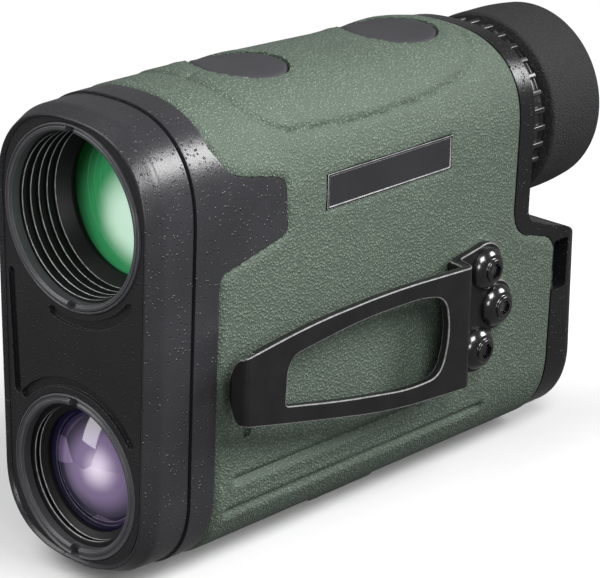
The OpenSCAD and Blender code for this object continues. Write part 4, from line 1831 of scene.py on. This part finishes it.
@dataclass
class Clip:
    """The spring-steel belt clip, bent from one sheet, and its three screws."""

    inner: float = 22.6
    thick: float = 1.5
    base: float = 18.9
    lobe: float = 4.5
    lip_centre: tuple[float, float] = (23.5, 17.2)
    lip_reach: tuple[float, float] = (2.7, 5.8)
    head: float = 2.2
    hexagon: float = 1.4
    window: tuple = (
        (26.0, 20.9, 1.2), (42.0, 22.6, 8.0), (57.0, 22.3, 4.0), (63.0, 20.8, 3.0), (64.2, 14.0, 5.0),
        (62.2, 6.9, 3.0), (54.0, 6.8, 4.0), (38.0, 9.5, 8.0), (24.0, 12.6, 0.8), (24.4, 19.0, 2.2),
    )

    def strip(self) -> list[tuple[float, float]]:
        """Returns the bent sheet's outline from above: turned-in front, arm, step and base.

        Returns:
            Points across and back.
        """
        outer, seat = self.inner + self.thick, self.base + self.thick
        return rounded([
            (20.9, 14.2, 0.35), (outer, 14.9, 0.9), (outer, 69.9, 1.3), (seat, 70.7, 0.6), (seat, 86.0),
            (self.base, 86.0), (self.base, 69.1, 0.8), (self.inner, 68.4, 0.6), (self.inner, 16.4, 0.5),
            (20.9, 15.8, 0.35),
        ], steps=7)

    def side_view(self) -> list[tuple[float, float]]:
        """Returns the outline from the side: the arm's bow and the base's three lobes.

        Returns:
            Points back and up.
        """
        first, second, third = ARMOUR.screws
        lobes = arc(first, self.lobe, 110, -40, 16) + arc(second, self.lobe, 84, -98, 18)
        lobes += arc(third, self.lobe, 30, -110, 16)
        return rounded([
            (13.5, 23.0), (30.0, 25.1, 9.0), (50.0, 25.6, 9.0), (69.7, 24.5, 0.4), (70.8, 24.8, 0.4),
            *lobes, (70.8, 2.9, 0.4), (69.7, 2.6, 0.4), (50.0, 4.0, 9.0), (30.0, 8.2, 9.0), (13.5, 11.9),
        ], steps=7)

    def sheet(self) -> bpy.types.Object:
        """Builds the clip with its window and the rounded lip of its front end.

        Returns:
            The finished piece.
        """
        sheet = slab("clip_sheet", self.strip(), Along.UP, -2, 32)
        worked(sheet, Join.KEEP, slab("tool", self.side_view(), Along.ACROSS, 10, 34))
        worked(sheet, Join.CUT, slab("tool", rounded(self.window, steps=7), Along.ACROSS, 21.8, 30))
        (across, rise), (wide, tall) = self.lip_centre, self.lip_reach
        turn = np.linspace(-1.57, 1.57, 25)
        curve = [(across - wide * math.cos(t), rise + tall * math.sin(t)) for t in turn]
        above = [spot for spot in curve if spot[1] >= rise]
        below = [spot for spot in curve if spot[1] < rise]
        upper = [(17.0, rise), *above, (across, 30.0), (17.0, 30.0)]
        lower = [(17.0, 4.0), (across, 4.0), *below, (17.0, rise - 0.1)]
        for waste in (upper, lower):
            worked(sheet, Join.CUT, slab("tool", waste, Along.BACK, 8, 16.9))
        return bevelled(sheet, 0.2, 3, 50, full=True)

    def screws(self) -> bpy.types.Object:
        """Builds the three button-head screws with hexagon sockets.

        Returns:
            The three screws as one piece.
        """
        seat = self.base + self.thick + 0.02
        made = []
        for back, rise in ARMOUR.screws:
            profile = rounded([
                (0.0, 12.5), (1.9, 12.5), (1.9, seat), (3.75, seat, 0.1), (3.8, seat + 0.35, 0.2),
                (3.4, seat + 1.0, 0.5), (2.7, seat + 1.6, 0.4), (2.1, seat + 1.7, 0.2),
                (1.95, seat + self.head - 0.02, 0.15), (1.5, seat + self.head, 0.1),
                (0.0, seat + self.head),
            ], steps=5)
            screw = turned("screw", profile, Along.ACROSS, back, rise, 72)
            corners = arc((back, rise), self.hexagon, 10, 310, 5)
            socket = slab("tool", corners, Along.ACROSS, seat + 0.75, 30)
            made.append(bevelled(worked(screw, Join.CUT, socket), 0.12, 2, 45))
        return joined(made[0], *made[1:])

    def build(self, studio: Studio) -> None:
        """Builds and dresses the clip and its screws."""
        studio.stands_for(self.sheet(), "belt_clip", 40)
        studio.stands_for(self.screws(), "clip_screws", 30)


@dataclass
class SmallParts:
    """Badge, battery, its cap and contact, and the tripod insert."""

    cap_rise: float = 3.0
    badge_edges: tuple[float, float, float, float] = (38.62, 69.28, 40.72, 46.68)
    badge_rim: float = 0.4

    def badge(self) -> bpy.types.Object:
        """Builds the blank badge with a raised border.

        Returns:
            The finished piece.
        """
        near, far, low, high = self.badge_edges
        plate = slab("badge_plate", rounded([(near, low), (far, low), (far, high), (near, high)], 0.3),
                     Along.ACROSS, 18.15, 18.78)
        rim = self.badge_rim
        near, far, low, high = near + rim, far - rim, low + rim, high - rim
        field = rounded([(near, low), (far, low), (far, high), (near, high)], 0.25)
        pocket = slab("tool", field, Along.ACROSS, 18.66, 30)
        return bevelled(worked(plate, Join.CUT, pocket), 0.07, 2, 40)

    def battery_cap(self) -> bpy.types.Object:
        """Builds the cap with a coin slot and a milled edge.

        Returns:
            The finished piece.
        """
        profile = rounded([
            (0.0, 101.2), (8.7, 101.2, 0.0), (8.9, 101.4, 0.1), (8.9, 102.2), (7.0, 102.2), (7.0, 104.4),
            (8.9, 104.4), (8.9, 105.25), (10.9, 105.25, 0.15), (11.0, 105.5, 0.15), (11.0, 107.5, 0.3),
            (10.3, 108.35, 0.5), (0.0, 108.4),
        ], steps=4)
        cap = turned("battery_cap_body", profile, Along.BACK, 0, self.cap_rise, 96)
        slot = slab("tool", rounded([(-7.5, 2.1), (7.5, 2.1), (7.5, 3.9), (-7.5, 3.9)], 0.8),
                    Along.BACK, 107.1, 120)
        flute = rod("tool", 0.55, 106.0, 120, Along.BACK, 0, self.cap_rise + 11.25, 14)
        cap = worked(cap, Join.CUT, slot)
        cap = worked(cap, Join.CUT, ringed(flute, 24, self.cap_rise))
        return bevelled(cap, 0.1, 2, 40)

    def battery(self) -> bpy.types.Object:
        """Builds the cell with its rolled edges, shrunk jacket and contact.

        Returns:
            The finished piece.
        """
        profile = rounded([
            (0.0, 74.0), (6.6, 73.9, 0.1), (7.0, 74.1, 0.2), (7.75, 74.4, 0.4), (7.75, 99.3, 0.5),
            (6.9, 99.7, 0.2), (6.3, 99.45, 0.1), (3.4, 99.5, 0.1), (3.2, 100.85, 0.25), (0.0, 100.9),
        ], steps=4)
        return turned("battery_cell", profile, Along.BACK, 0, self.cap_rise, 96)

    def tripod_insert(self) -> bpy.types.Object:
        """Builds the insert with a cut thread.

        Returns:
            The finished piece.
        """
        thread = []
        for turn in range(9):
            at = -17.7 + turn * 0.68
            thread += [(3.2, at), (2.75, at + 0.3), (2.75, at + 0.38), (3.2, at + 0.66)]
        profile = [(5.3, -18.0), (3.5, -18.0)] + thread + [
            (3.2, -11.5), (0.0, -11.3), (0.0, -10.0), (5.3, -10.0), (5.5, -10.2), (5.5, -17.8)]
        return turned("tripod_bush", profile, Along.UP, 0, back_of(0.0), 72)

    def contact_spring(self) -> bpy.types.Object:
        """Builds the coiled contact as a cone of wire.

        Returns:
            The finished piece.
        """
        curve = bpy.data.curves.new("contact_coil", "CURVE")
        curve.dimensions, curve.bevel_depth, curve.bevel_resolution = "3D", 0.19 * MM, 3
        spline = curve.splines.new("POLY")
        count = 110
        spline.points.add(count - 1)
        for index, point in enumerate(spline.points):
            t = index / (count - 1)
            angle, radius = t * math.tau * 3.2, 5.7 - 3.2 * t
            rise = self.cap_rise + radius * math.sin(angle)
            point.co = (*place(radius * math.cos(angle), 72.72 + 0.8 * t, rise), 1.0)
        coil = bpy.data.objects.new("contact_coil", curve)
        bpy.context.collection.objects.link(coil)
        pick(coil)
        bpy.ops.object.convert(target="MESH")
        return bpy.context.object

    def build(self, studio: Studio) -> None:
        """Builds and dresses the small parts.

        Args:
            studio: the finishes, and the calls that hand pieces to the frame.
        """
        studio.stands_for(self.badge(), "side_badge")
        studio.stands_for(self.battery_cap(), "battery_cap")
        studio.stands_for(self.battery(), "battery")
        studio.stands_for(self.tripod_insert(), "tripod_insert")
        studio.stands_for(self.contact_spring(), "battery_spring")


# ---------------------------------------------------------------- set


@dataclass
class Setting:
    """The camera, the floor and the lamps."""

    azimuth: float = 42.68
    elevation: float = 20.58
    roll: float = 1.16
    distance: float = 0.4898
    target: tuple[float, float, float] = (-0.002, -0.002, 0.0354)
    lens: float = 171.55
    aim: tuple[float, float, float] = (0.0, 0.0, 0.04)
    floor_size: float = 12.0
    floor_drop: float = 0.0002
    surround: float = 0.19

    def camera(self) -> None:
        """Places the camera."""
        a, e = math.radians(self.azimuth), math.radians(self.elevation)
        back = Vector((math.sin(a) * math.cos(e), -math.cos(a) * math.cos(e), math.sin(e)))
        data = bpy.data.cameras.new("camera")
        data.lens, data.sensor_width = self.lens, 36.0
        data.clip_start, data.clip_end = 0.01, 20.0
        camera = bpy.data.objects.new("camera", data)
        bpy.context.collection.objects.link(camera)
        camera.location = Vector(self.target) + back * self.distance
        camera.rotation_mode = "QUATERNION"
        camera.rotation_quaternion = (-back).to_track_quat("-Z", "Y") @ Quaternion(
            (0, 0, 1), math.radians(self.roll)
        )
        bpy.context.scene.camera = camera

    def lamp(self, name: str, spot: Spot, size: tuple[float, float], power: float) -> None:
        """Adds a soft rectangular lamp that faces the instrument.

        Args:
            name: the lamp's name.
            spot: where it stands.
            size: its width and height.
            power: its power.
        """
        data = bpy.data.lights.new(name, "AREA")
        data.shape, data.size, data.size_y = "RECTANGLE", size[0], size[1]
        data.energy = power
        lamp = bpy.data.objects.new(name, data)
        bpy.context.collection.objects.link(lamp)
        lamp.location = spot
        lamp.visible_camera = False
        lamp.rotation_mode = "QUATERNION"
        lamp.rotation_quaternion = (Vector(self.aim) - Vector(spot)).to_track_quat("-Z", "Y")

    def sun(self, name: str, towards: Spot, power: float, spread: float) -> None:
        """Adds a wide far lamp that shines from a direction.

        Args:
            name: the lamp's name.
            towards: direction from the instrument to the lamp.
            power: its strength.
            spread: its angle, in degrees.
        """
        data = bpy.data.lights.new(name, "SUN")
        data.energy, data.angle = power, math.radians(spread)
        lamp = bpy.data.objects.new(name, data)
        bpy.context.collection.objects.link(lamp)
        lamp.rotation_mode = "QUATERNION"
        lamp.rotation_quaternion = (-Vector(towards)).to_track_quat("-Z", "Y")

    def floor(self) -> None:
        """Lays the pale floor."""
        clear()
        bpy.ops.mesh.primitive_plane_add(size=self.floor_size, location=(0, 0, -self.floor_drop))
        floor = named("floor")
        recipe = Recipe("floor_paint")
        cloud = recipe.noise(400.0, 2.0)
        colour = recipe.blend(cloud, (0.9, 0.9, 0.9), (0.93, 0.93, 0.93))
        floor.data.materials.append(recipe.done(Base_Color=colour, Roughness=0.9))
        floor.visible_diffuse = floor.visible_glossy = False

    def sky(self) -> None:
        """Sets an even pale surrounding light."""
        world = bpy.data.worlds.new("studio")
        world.use_nodes = True
        background = world.node_tree.nodes["Background"]
        background.inputs["Color"].default_value = (1.0, 1.0, 1.0, 1.0)
        background.inputs["Strength"].default_value = self.surround
        bpy.context.scene.world = world
        bpy.context.scene.view_settings.view_transform = "Standard"

    def build(self) -> None:
        """Sets up everything round the instrument."""
        self.camera()
        self.sky()
        self.floor()
        self.sun("key", (0.53, 0.69, 0.49), 2.5, 24.0)
        self.sun("left_fill", (-0.35, -0.45, 0.82), 1.9, 50.0)
        self.lamp("top_softbox", (0.13, -0.03, 0.16), (0.07, 0.07), 0.25)
        self.lamp("side_softbox", (0.2, -0.16, 0.1), (0.07, 0.07), 0.16)
        self.lamp("window", (-0.5, -0.72, 0.16), (0.26, 0.3), 0.8)


def main() -> None:
    """Builds the classes in order."""
    logging.basicConfig(level=logging.INFO, format="%(name)s: %(message)s")
    Setting().build()
    studio = Studio()
    FRONT.build(studio)
    RINGS.build(studio)
    ARMOUR.build(studio)
    Buttons().build(studio)
    RearHousing().build(studio)
    Eyepiece().build(studio)
    Clip().build(studio)
    SmallParts().build(studio)
    studio.dress_the_rest()


if __name__ == "__main__":
    main()
